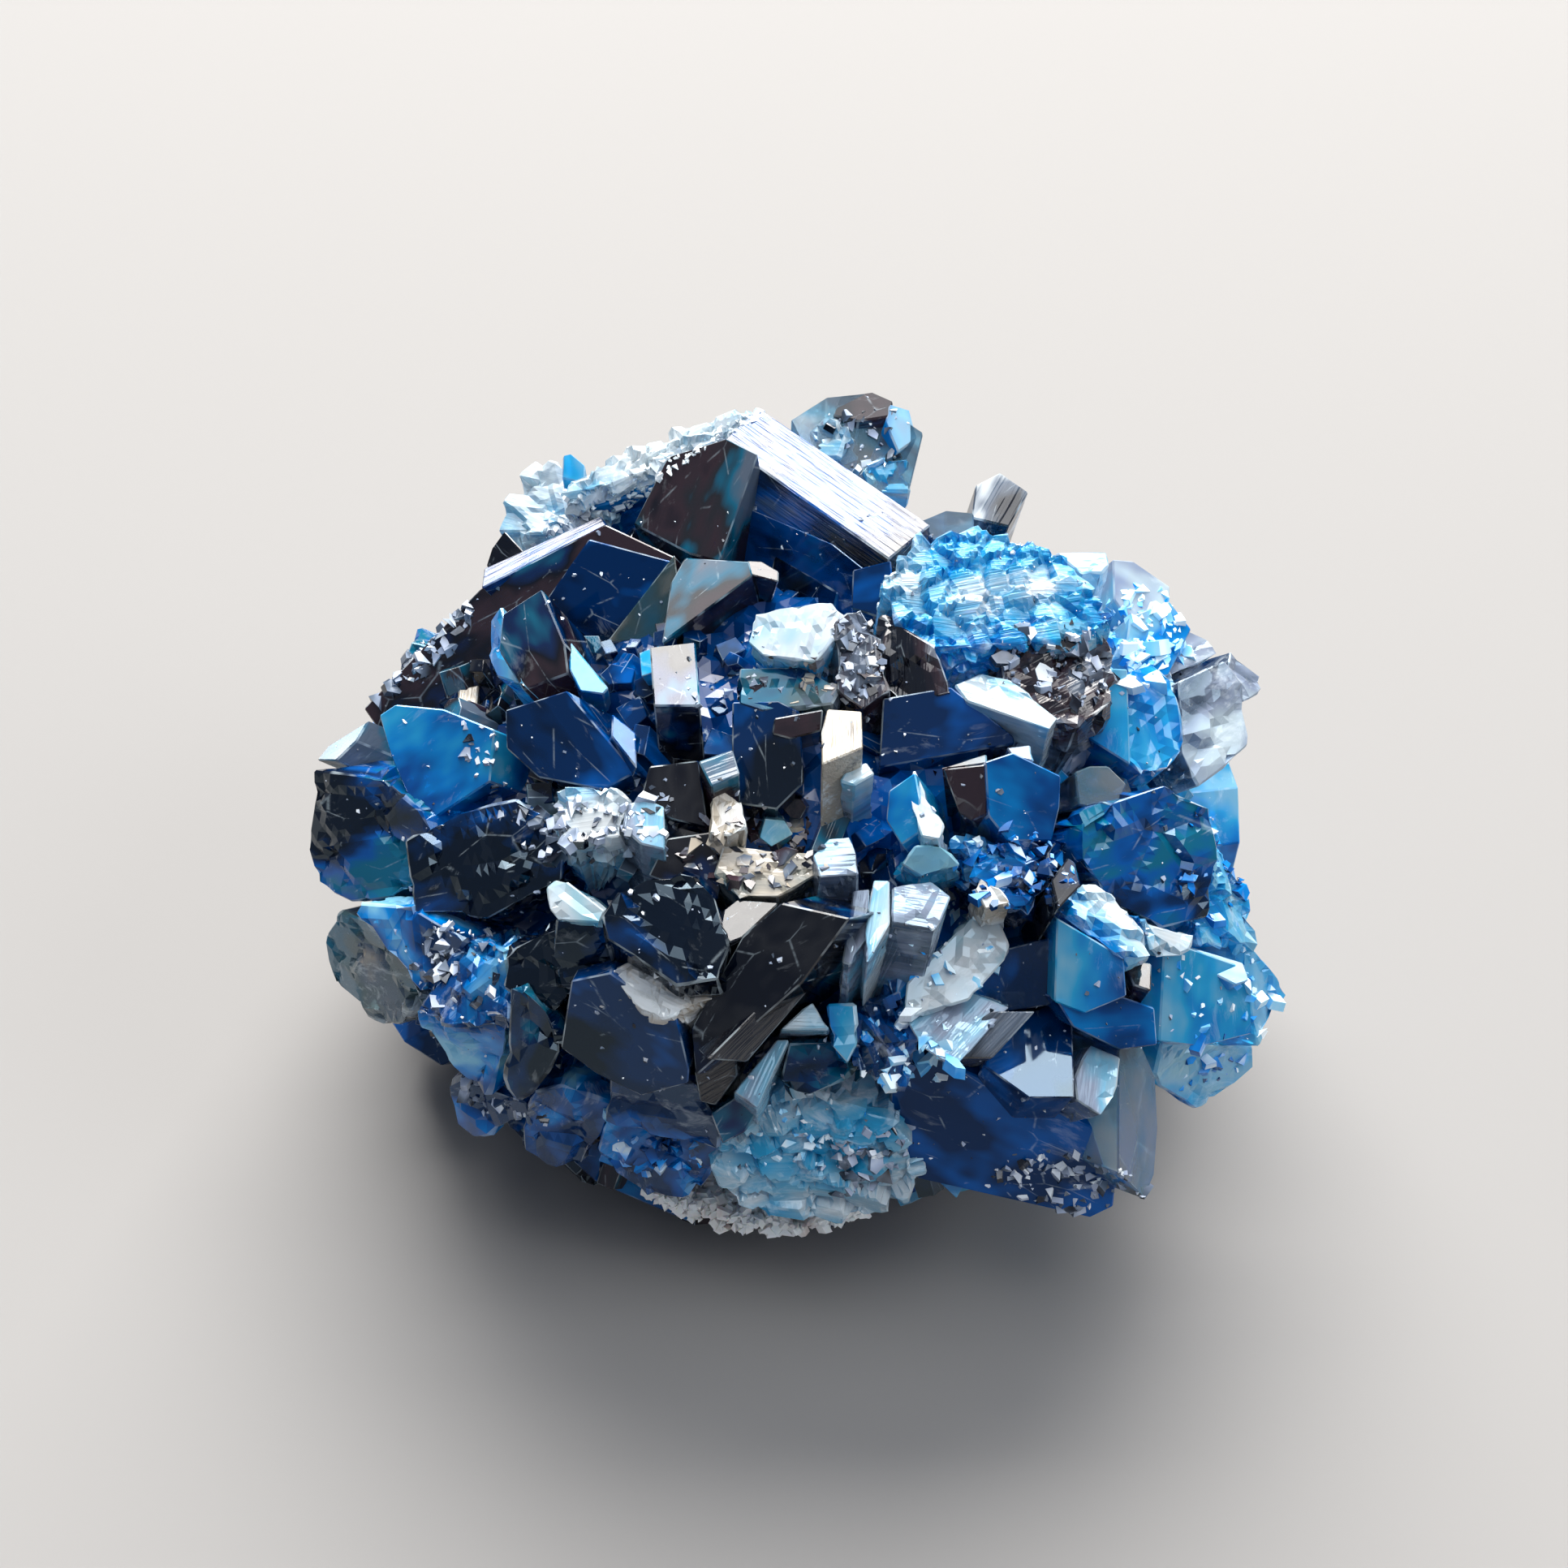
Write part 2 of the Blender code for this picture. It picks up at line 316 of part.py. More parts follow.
# Crystals that show over the back.
BEHIND = (
    ("clear_behind", (5, 21, 42.5), (10, 50), (-1, -2, -9), 0.85,
     ((-1.5, -4), (2.5, -5.5), (4, -1.5), (4.5, -0.5), (0.5, 3), (-2.5, 3), (-5.5, 1.5), (-4.5, -1.5))),
    ("small_block", (14.5, 14, 41), (15, 60), (-1, -2, -8), 1.0,
     ((3, 1), (0.5, 2.5), (-1.5, 1.5), (-2.5, -1), (-2.5, -1.5), (0, -2.5), (2, -1.5))),
    ("pale_behind", (-19.5, 19, 38), (-20, 55), (4, -1, -9), 1.1,
     ((-2.5, -0.5), (-2.5, -3.5), (1.5, -2.5), (4.5, 0.5), (3, 2.5), (-1.5, 2.5))),
    ("spike", (-17, 19, 40.5), (-10, 50), (1, -1, -9), 1.3,
     ((-0.4, 1.2), (-1, 1), (-0.8, -0.8), (1, -1), (0.8, 0.4))),
    ("green_black", (-22, 13.5, 37), (-30, 40), (5, -1, -9), 1.1,
     ((-1.2, -0.2), (-1.2, -1.6), (0.4, -1.2), (1.6, 0.4), (-0.6, 1.4))),
)

HAND_LAID = (
    RIDGE + LEFT_PRISM + TOP + TOP_RIGHT + RIGHT + MIDDLE
    + LOWER_MIDDLE + LOWER_RIGHT + LEFT + BOTTOM + BEHIND
)


def clear_scene():
    for obj in list(bpy.data.objects):
        bpy.data.objects.remove(obj, do_unlink=True)


def collection(name):
    made = bpy.data.collections.new(name)
    bpy.context.scene.collection.children.link(made)
    return made


def material(name, colour, roughness):
    made = bpy.data.materials.new(name)
    made.use_nodes = True
    shader = made.node_tree.nodes["Principled BSDF"]
    shader.inputs["Base Color"].default_value = (*colour, 1)
    shader.inputs["Roughness"].default_value = roughness
    shader.inputs["Metallic"].default_value = 0
    return made


def face_axes(turn, lift):
    """The across, upslope and outward directions of a face."""
    turn, lift = math.radians(turn), math.radians(lift)
    across = Vector((math.cos(turn), math.sin(turn), 0))
    outward = Vector((math.sin(turn) * math.cos(lift), -math.cos(turn) * math.cos(lift), math.sin(lift)))
    return across, outward.cross(across), outward


def hull_object(name, points, into):
    """A closed convex solid round the points, which are in millimetres."""
    shape = bmesh.new()
    for point in points:
        shape.verts.new(Vector(point) * MM)
    bmesh.ops.convex_hull(shape, input=shape.verts)
    inside = [vert for vert in shape.verts if not vert.link_faces]
    bmesh.ops.delete(shape, geom=inside, context="VERTS")
    bmesh.ops.dissolve_limit(shape, angle_limit=math.radians(1), verts=shape.verts, edges=shape.edges)
    bmesh.ops.recalc_face_normals(shape, faces=shape.faces)
    mesh = bpy.data.meshes.new(name)
    shape.to_mesh(mesh)
    shape.free()
    made = bpy.data.objects.new(name, mesh)
    into.objects.link(made)
    return made


def crystal(name, middle, facing, growth, spread, outline, into):
    """A prism from its end face down to its root inside the groundmass."""
    across, upslope, _ = face_axes(*facing)
    middle = Vector(middle)
    end = [middle + across * u + upslope * v for u, v in outline]
    centre = sum(end, Vector()) / len(end)
    root = [centre + Vector(growth) + (point - centre) * spread for point in end]
    return hull_object(name, end + root, into)


def on_groundmass(height, azimuth, reach):
    """A point over the groundmass's surface, at a height and an azimuth."""
    radii = Vector(GROUND_RADII) * reach
    rise = max(-0.95, min(0.95, (height - GROUND_MIDDLE[2]) / radii.z))
    level = math.sqrt(1 - rise * rise)
    angle = math.radians(azimuth)
    offset = Vector((math.cos(angle) * level * radii.x, math.sin(angle) * level * radii.y, rise * radii.z))
    return Vector(GROUND_MIDDLE) + offset


def outward_facing(point):
    """Turn and lift of the groundmass's own normal at a point."""
    offset = point - Vector(GROUND_MIDDLE)
    normal = Vector([o / (r * r) for o, r in zip(offset, GROUND_RADII)]).normalized()
    return math.degrees(math.atan2(normal.x, -normal.y)), math.degrees(math.asin(normal.z))


def uneven_outline(chance, width):
    """Four to six corners round an oval, no two crystals alike."""
    sides = chance.randint(4, 6)
    start = chance.uniform(0, 360)
    outline = []
    for side in range(sides):
        angle = math.radians(start + 360 * side / sides + chance.uniform(-14, 14))
        radius = width / 2 * chance.uniform(0.8, 1.1)
        outline.append((math.cos(angle) * radius, math.sin(angle) * radius * 0.8))
    return outline


def ring_of_crystals(ring, reach, chance, into):
    height, count, first, last = ring
    for i in range(count):
        azimuth = first + (last - first) * (i + chance.uniform(0.3, 0.7)) / count
        middle = on_groundmass(height + chance.uniform(-2, 2), azimuth, chance.uniform(*reach))
        turn, lift = outward_facing(middle)
        facing = (turn + chance.uniform(-22, 22), lift + chance.uniform(-18, 22))
        outline = uneven_outline(chance, chance.uniform(*BACK_WIDTH))
        growth = (Vector(GROUND_MIDDLE) - middle).normalized() * BACK_ROOT
        crystal(f"ring_{height}_{i}", middle, facing, growth, chance.uniform(*TAPER), outline, into)


def groundmass():
    """A lumpy ball, whose lumps are all smaller than the crystals that cover it."""
    chance = random.Random(BACK_SEED)
    shape = bmesh.new()
    bmesh.ops.create_icosphere(shape, subdivisions=2, radius=1)
    for vert in shape.verts:
        lump = 1 + chance.uniform(-GROUND_LUMP, GROUND_LUMP)
        vert.co = Vector([(m + c * r * lump) * MM for m, c, r in zip(GROUND_MIDDLE, vert.co, GROUND_RADII)])
    mesh = bpy.data.meshes.new("crystal_cluster")
    shape.to_mesh(mesh)
    shape.free()
    return bpy.data.objects.new("crystal_cluster", mesh)


def crust_plates(name, margin, into):
    """The matrix's lumpy plates, each grown by a margin all round."""
    chance = random.Random(CRUST_SEED)
    for i in range(CRUST_PLATES):
        share = i / (CRUST_PLATES - 1)
        angle = math.radians(CRUST_ARC[0] + (CRUST_ARC[1] - CRUST_ARC[0]) * share)
        sag = CRUST_SAG * math.sin(math.pi * share)
        place = (math.cos(angle) * CRUST_RADII[0], math.sin(angle) * CRUST_RADII[1], CRUST_HEIGHT - sag)
        middle = Vector(place) + Vector((0, 0, chance.uniform(-0.5, 0.5)))
        turned = Matrix.Rotation(angle, 3, "Z")
        corners = []
        for corner in range(CRUST_CORNERS):
            around = 2 * math.pi * (corner + chance.uniform(-0.3, 0.3)) / CRUST_CORNERS
            reach = chance.uniform(0.75, 1.25)
            for level in (-1, 1):
                lean = chance.uniform(0.6, 1)
                flat = Vector((
                    math.cos(around) * (CRUST_PLATE[0] / 2 * reach * lean + margin),
                    math.sin(around) * (CRUST_PLATE[1] / 2 * reach * lean + margin),
                    level * (CRUST_PLATE[2] / 2 * chance.uniform(0.6, 1) + margin),
                ))
                corners.append(middle + turned @ flat)
        hull_object(f"{name}_{i}", corners, into)


def combine(target, operation, group):
    """A Boolean of an object with every solid in a collection."""
    step = target.modifiers.new(operation.lower(), "BOOLEAN")
    step.operation = operation
    step.solver = "EXACT"
    step.operand_type = "COLLECTION"
    step.collection = group


def cut_by_object(target, cutter):
    cut = target.modifiers.new(cutter.name, "BOOLEAN")
    cut.operation = "DIFFERENCE"
    cut.solver = "EXACT"
    cut.object = cutter


def bake(target):
    """Replaces an object's mesh with what its modifiers make of it."""
    bpy.context.view_layer.update()
    graph = bpy.context.evaluated_depsgraph_get()
    mesh = bpy.data.meshes.new_from_object(target.evaluated_get(graph))
    mesh.name = target.name
    target.modifiers.clear()
    target.data = mesh


def outer_skin(mesh):
    """Keeps the largest connected skin, so that no gap between crystals is sealed inside."""
    shape = bmesh.new()
    shape.from_mesh(mesh)
    unseen = set(shape.verts)
    skins = []
    while unseen:
        skin, edge = set(), [unseen.pop()]
        while edge:
            vert = edge.pop()
            skin.add(vert)
            for link in vert.link_edges:
                other = link.other_vert(vert)
                if other in unseen:
                    unseen.remove(other)
                    edge.append(other)
        skins.append(skin)
    largest = max(skins, key=len)
    loose = [vert for skin in skins if skin is not largest for vert in skin]
    bmesh.ops.delete(shape, geom=loose, context="VERTS")
    shape.to_mesh(mesh)
    shape.free()


def as_cutters(group):
    for obj in group.objects:
        obj.hide_render = True
        obj.display_type = "WIRE"


def below_ground(into):
    """A block whose top is the plane that the base is cut at."""
    bpy.ops.mesh.primitive_cube_add(size=1, location=(0, 0, -30 * MM))
    block = bpy.context.object
    block.name = "below_ground"
    block.scale = (100 * MM, 100 * MM, 60 * MM)
    for owner in list(block.users_collection):
        owner.objects.unlink(block)
    into.objects.link(block)
    return block


def main():
    clear_scene()
    parts = collection("euclase_cluster")
    crystals = collection("crystals")
    pocket = collection("crust_pocket")
    plates = collection("crust_plates")
    cutters = collection("cutters")

    for row in HAND_LAID:
        crystal(*row, crystals)
    chance = random.Random(BACK_SEED)
    for ring in BACK_RINGS:
        ring_of_crystals(ring, BACK_REACH, chance, crystals)
    ring_of_crystals(FOOT_RING, FOOT_REACH, chance, crystals)
    crust_plates("pocket", CLEARANCE, pocket)
    crust_plates("plate", 0, plates)
    ground_block = below_ground(cutters)

    cluster = groundmass()
    parts.objects.link(cluster)
    combine(cluster, "UNION", crystals)
    cut_by_object(cluster, ground_block)
    combine(cluster, "DIFFERENCE", pocket)
    bake(cluster)
    outer_skin(cluster.data)
    cluster.data.materials.append(material("euclase", CRYSTAL_BLUE, 0.12))

    crust = plates.objects[0].copy()
    crust.data = crust.data.copy()
    crust.name = "white_matrix"
    parts.objects.link(crust)
    combine(crust, "UNION", plates)
    bake(crust)
    outer_skin(crust.data)
    crust.data.materials.append(material("matrix", MATRIX_WHITE, 0.8))

    for group in (crystals, pocket, plates, cutters):
        as_cutters(group)


main()
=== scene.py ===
"""Looks of the euclase crystal cluster: clear intergrown crystals and a crust of white matrix.

Crystals are in millimetres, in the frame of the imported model: the cluster stands on z = 0, +X is
to the right and +Y to the back. The finishes, the lights and the floor are in metres.
"""

import math
import random

import bmesh
import bpy
from mathutils import Matrix, Vector, noise
from mathutils.bvhtree import BVHTree


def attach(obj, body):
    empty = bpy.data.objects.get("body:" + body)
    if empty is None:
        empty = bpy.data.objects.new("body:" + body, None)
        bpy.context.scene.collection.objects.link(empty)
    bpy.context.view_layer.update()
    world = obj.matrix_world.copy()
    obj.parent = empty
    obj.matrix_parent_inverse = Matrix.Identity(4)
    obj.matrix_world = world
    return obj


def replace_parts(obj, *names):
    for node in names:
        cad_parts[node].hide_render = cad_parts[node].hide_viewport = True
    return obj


MM = 0.001

# Camera: it looks down at the cluster from the front.
CAMERA_TARGET = (-1.1, -0.2, 25.9)
CAMERA_ELEVATION = 44
CAMERA_DISTANCE = 156
CAMERA_LENS = 48.45
SENSOR = 36
CLIP_START = 10

# Groundmass: the rounded mass that the crystals grow from, uneven and broken into chips.
GROUND_MIDDLE = (-1, 0.5, 17)
GROUND_RADII = (31, 25.5, 24)
GROUND_CHIPS = (2.2, 2.2, 2.2)
GROUND_DEPTH = 0.9
GROUND_LEVEL = 0.95
GROUND_LUMPS = 0.04
LUMP_SCALE = 3
GROUND_CUT = 0.05
POLE = 0.95

# Every crystal: how far its edges are worn, and how its grain differs from its neighbours'.
EDGE_WEAR = 0.1
FLAT_ANGLE = math.radians(1)
GRAIN_SHIFT = (7, 11, 13)
GRAIN_SCATTER = 9

# The uneven oval ends of the crystals that chance places.
SIDES = (4, 6)
CORNER_TURN = (-14, 14)
CORNER_RADIUS = (0.8, 1.1)
OVAL = 0.8

# Crystals that cover the back and the flanks: rings of (height, count, first and last azimuth),
# with azimuths from +X towards the back, and how far chance moves and turns each crystal.
BACK_RINGS = (
    (5, 11, -30, 210),
    (12, 11, -20, 200),
    (20, 10, -6, 186),
    (28, 9, 10, 170),
    (36, 7, 24, 156),
    (41, 5, 35, 140),
)
BACK_REACH = (1.04, 1.1)
BACK_WIDTH = (8, 14)
BACK_ROOT = 10
BACK_SEED = 31
FOOT_RING = (5, 10, 212, 328)
FOOT_REACH = (1.0, 1.04)
RING_STEP = (0.3, 0.7)
RING_RISE = (-2, 2)
RING_TURN = (-22, 22)
RING_LIFT = (-18, 22)
TAPER = (1, 1.25)

# Small crystals in the gaps: they grow where the surface lies deeper than GAP_REACH.
SMALL_COUNT = 1500
SMALL_WIDTH = (1.2, 3.2)
SMALL_SEED = 5
SMALL_RISE = (-0.6, 1)
SMALL_LOWEST = 3
SMALL_LEAN = 0.4
SMALL_LENGTH = (0.2, 0.8)
SMALL_ROOT = 1.1
SMALL_WEAR = 0.05
GAP_REACH = 1.035
RAY_START = 1.4

# The finishes that chance picks from, by where each zone ends: dark on the left, pale on the right.
RING_FINISHES = (
    (-8, ("navy", "lumpy", "royal", "navy", "plum")),
    (10, ("royal", "lumpy_blue", "navy", "azure", "murky")),
    (math.inf, ("royal", "lumpy_blue", "azure", "navy", "royal", "azure")),
)
SMALL_FINISHES = (
    (-10, ("navy", "navy", "royal", "smoky", "ink", "murky")),
    (6, ("smoky", "navy", "ink", "royal", "navy", "sky")),
    (math.inf, ("azure", "royal", "sky", "azure", "clear", "navy")),
)

# Colours inside the crystals, from the darkest to the lightest.
INK = (0.001, 0.003, 0.01)
SMOKE = (0.02, 0.022, 0.028)
# Painted reflection: the brown-violet that warm brown surroundings cast on some facets, drawn into their
# colour.
PLUM_REFLECTION = (0.04, 0.022, 0.03)
NAVY = (0.0, 0.022, 0.1)
ROYAL = (0.0, 0.1, 0.42)
TEAL = (0.004, 0.15, 0.26)
MOSS = (0.07, 0.12, 0.12)
AZURE = (0.0, 0.3, 0.85)
BRIGHT = (0.03, 0.55, 1.0)
SKY = (0.28, 0.7, 0.98)
SLATE = (0.12, 0.16, 0.22)
LAVENDER = (0.42, 0.5, 0.66)
CYAN = (0.35, 0.75, 0.9)
CREAM = (0.5, 0.44, 0.35)
ICE = (0.75, 0.9, 0.98)
WHITE = (0.86, 0.93, 0.96)

# The groundmass from left to right, the matrix from its stains up, and the floor, sky and lights.
# Painted light: the groundmass is dark on the left and pale on the right, partly its own colour and partly as
# if lit from the right.
GROUND_TONE_AND_LIGHT_ENDS = (-0.03, 0.03)
GROUND_TONES_AND_LIGHT = ((0, INK), (0.35, NAVY), (0.65, ROYAL), (1, BRIGHT))
MATRIX_TONES = ((0.3, (0.5, 0.42, 0.38)), (0.5, (0.93, 0.92, 0.9)))
FLOOR_FADE = (0.4, 1.6)
FLOOR_NEAR = (0.25, 0.245, 0.24)
FLOOR_FAR = (0.8, 0.8, 0.8)
DAYLIGHT = (0.7, 0.8, 1)
SUNNY = (1, 0.97, 0.93)
ROSY = (1, 0.85, 0.8)

# What every clear finish shares: the index, the side towards which painted light makes facets paler,
# and the size and strength of the growth lines, the drift of the tones, the veil of fine cracks, the
# hairlines, and the edges, paler partly from wear and partly as a painted highlight.
EUCLASE_INDEX = 1.65
BLUE_SHEEN = (0.6, 0.82, 1)
# Painted light: facets that face this way (right, a little back, and up) are drawn paler, those facing away
# darker.
PAINTED_LIGHT_SIDE = (0.6, 0.15, 0.35)
PAINTED_FACET_SHADING_SHARE = 0.1
LINE_STRETCH = 0.05
LINE_HEIGHT = 0.0002
LINE_SHARE = 0.25
LINE_LOSS = 0.02
DRIFT_STRETCH = (1, 1, 0.6)
DRIFT_SCALE = 0.15
TONE_MIDDLE = 0.51
TONE_REACH = 0.13
VEIL_STRETCH = (1, 1, 0.45)
VEIL_SCALE = 0.6
VEIL_ENDS = (0.62, 0.8)
VEIL_FROST = (0.2, 0.15)
VEIL_LEAST = 0.25
VEIL_CLARITY = 0.4
CRACK_STRETCH = (1, 1, 0.4)
CRACK_SCALE = 0.4
HAIRLINE = (0.02, 0.28)
HAIRLINE_VEIL = (0.5, 0.6)
# Edges: wear makes them rougher, and their paler colour is partly wear and partly a painted highlight.
WEAR_AND_HIGHLIGHT_SCALE = 0.6
WEAR_AND_HIGHLIGHT_ENDS = (0.45, 0.6)
WEAR_ROUGH = 0.1
ROUGH_ENDS = (0.35, 0.75)
FROST_ROUGH = 0.35

# What sets each clear finish apart. Those that hardly let light in have no depth.
DULL = {"clarity": 0.25, "sheen": (1, 1, 1)}
CHIP = {"clarity": 0, "gloss": 0.12}
GREY_CHIP = {**CHIP, "sheen": (1, 1, 1)}
CLEAR = {
    "navy": dict(tones=(INK, NAVY, NAVY, ROYAL), clarity=0.3, level=0.3),
    "navy_lined": dict(tones=(INK, NAVY, ROYAL, SLATE), clarity=0.3, sheen=(1, 1, 1), relief=0.7,
                       spacing=0.35, gloss=0.14),
    "lumpy": dict(tones=(INK, INK, NAVY, ROYAL, TEAL), clarity=0.3, gloss=0.06, level=0.35),
    "lumpy_blue": dict(tones=(NAVY, NAVY, ROYAL, AZURE, SKY), clarity=0.3, gloss=0.06, frost=0.25),
    "ink": dict(tones=(INK, SMOKE, INK, NAVY, TEAL), level=0.25, **DULL),
    # The plum tones are a painted reflection of warm brown surroundings, over a dark blue crystal.
    "plum": dict(tones=(PLUM_REFLECTION, PLUM_REFLECTION, INK, NAVY, TEAL), level=0.3, **DULL),
    "deep": dict(tones=(INK, NAVY, NAVY, ROYAL), clarity=0.2, level=0.12),
    "vivid_blue": dict(tones=(NAVY, ROYAL, ROYAL, AZURE), depth=(0.02, 0.4, 0.85, 60), light=0.03,
                       level=0.25),
    "snow_blue": dict(tones=(BRIGHT, SKY, ICE, WHITE), depth=(0.1, 0.75, 0.96, 30), relief=0.4, frost=0.6),
    "pale_moss": dict(tones=(TEAL, MOSS, SLATE, CREAM), depth=(0.4, 0.65, 0.65, 60), frost=0.4),
    "front_navy": dict(tones=(NAVY, ROYAL, ROYAL), clarity=0.2, level=0.08),
    # The crescent's bone finish is partly its own cream and partly painted light: its white tones stand in
    # for the light that the boulder above keeps off it.
    "bone": dict(tones=(CREAM, WHITE, WHITE), sheen=(1, 1, 1), relief=0.6, clarity=0.2),
    # A dark crystal whose plum tone is a painted reflection of warm brown surroundings.
    "smoky": dict(tones=(INK, PLUM_REFLECTION, SMOKE, TEAL, SLATE), relief=0.2, level=0.35, **DULL),
    "rimmed": dict(tones=(INK, INK, SMOKE, SLATE, WHITE), rim=0.9, relief=0.4, **DULL),
    "grey_lined": dict(tones=(INK, SMOKE, SLATE), relief=0.8, spacing=0.3, gloss=0.18, **DULL),
    "mossy": dict(tones=(TEAL, MOSS, CREAM), depth=(0.5, 0.7, 0.6, 60), relief=0.2, light=0.06),
    "murky": dict(tones=(INK, NAVY, TEAL, MOSS, SLATE), clarity=0.3, frost=0.15, level=0.35),
    "royal": dict(tones=(NAVY, NAVY, ROYAL, AZURE), depth=(0.02, 0.4, 0.85, 100), level=0.25),
    "azure": dict(tones=(ROYAL, AZURE, BRIGHT, SKY), depth=(0.02, 0.62, 0.94, 50), rim=0.5,
                  frost=0.15, light=0.02),
    "sky": dict(tones=(AZURE, BRIGHT, SKY, CYAN), depth=(0.1, 0.7, 0.94, 40), rim=0.6, frost=0.25),
    "cyan": dict(tones=(BRIGHT, CYAN, ICE, WHITE), depth=(0.3, 0.8, 0.94, 30), rim=0.6, frost=0.35),
    "pale": dict(tones=(AZURE, SKY, LAVENDER, ICE), depth=(0.2, 0.75, 0.94, 30), rim=0.7, frost=0.3),
    "lavender": dict(tones=(SLATE, LAVENDER, SKY, ICE), depth=(0.5, 0.7, 0.9, 30), relief=0.4,
                     rim=0.6, frost=0.2),
    "clear": dict(tones=(SLATE, SKY, ICE, WHITE), depth=(0.5, 0.8, 0.92, 25), clarity=0.85,
                  rim=0.5, frost=0.2),
    "frosted": dict(tones=(NAVY, SLATE, LAVENDER, ICE), depth=(0.4, 0.65, 0.85, 60), frost=0.5, rim=0.7),
    "cream": dict(tones=(MOSS, CREAM, WHITE), relief=0.4, frost=0.2, gloss=0.12, **DULL),
    "cream_lined": dict(tones=(SMOKE, CREAM, CREAM, WHITE), relief=0.8, spacing=0.25, gloss=0.14, **DULL),
    "fibrous": dict(tones=(AZURE, BRIGHT, SKY, WHITE), depth=(0.1, 0.7, 0.94, 50), relief=0.8,
                    spacing=0.3, frost=0.6),
    "roughblue": dict(tones=(NAVY, ROYAL, AZURE, SKY), depth=(0.05, 0.6, 0.94, 60), relief=0.4, frost=0.35),
    "roughazure": dict(tones=(AZURE, BRIGHT, CYAN, WHITE), depth=(0.05, 0.7, 0.94, 50), relief=0.4,
                       frost=0.5),
    "roughpale": dict(tones=(AZURE, SKY, ICE, WHITE), depth=(0.3, 0.82, 0.94, 30), relief=0.4, frost=0.5),
    "crumb": dict(tones=(SKY, ICE, WHITE, WHITE), depth=(0.5, 0.85, 0.94, 20), relief=0.6, frost=0.7),
    "scaly": dict(tones=(INK, PLUM_REFLECTION, SLATE, LAVENDER), relief=0.4, gloss=0.12, **DULL),
    "silver": dict(tones=(INK, SLATE, LAVENDER, WHITE), frost=0.2, **GREY_CHIP),
    "snowy": dict(tones=(ICE, WHITE, WHITE, WHITE), frost=0.6, **CHIP),
    "brown_chips": dict(tones=(INK, PLUM_REFLECTION, SLATE, CREAM), **GREY_CHIP),
    "blue_chips": dict(tones=(NAVY, ROYAL, AZURE, ICE), frost=0.2, **CHIP),
    "pale_chips": dict(tones=(AZURE, SKY, ICE, WHITE), frost=0.3, **CHIP),
}

# The studio: a floor, a soft sky, and lights by name, azimuth, elevation, distance, size in
# metres, brightness and colour.
FLOOR_SIZE = 12
SKY_STRENGTH = 0.3
LIGHTS_TARGET = (0, 0, 0.025)
LIGHTS = (
    ("window", 180, 50, 1.2, (1.2, 0.9), 14.5, SUNNY),
    ("overhead", 20, 84, 1.2, (0.8, 0.8), 3.2),
    ("front_fill", 0, 38, 1.3, (1.1, 0.8), 0.12, ROSY),
    ("right_side", 75, 38, 1.2, (0.5, 0.5), 5),
)
BOUNCES = {"max_bounces": 6, "transmission_bounces": 4, "diffuse_bounces": 3, "glossy_bounces": 3}

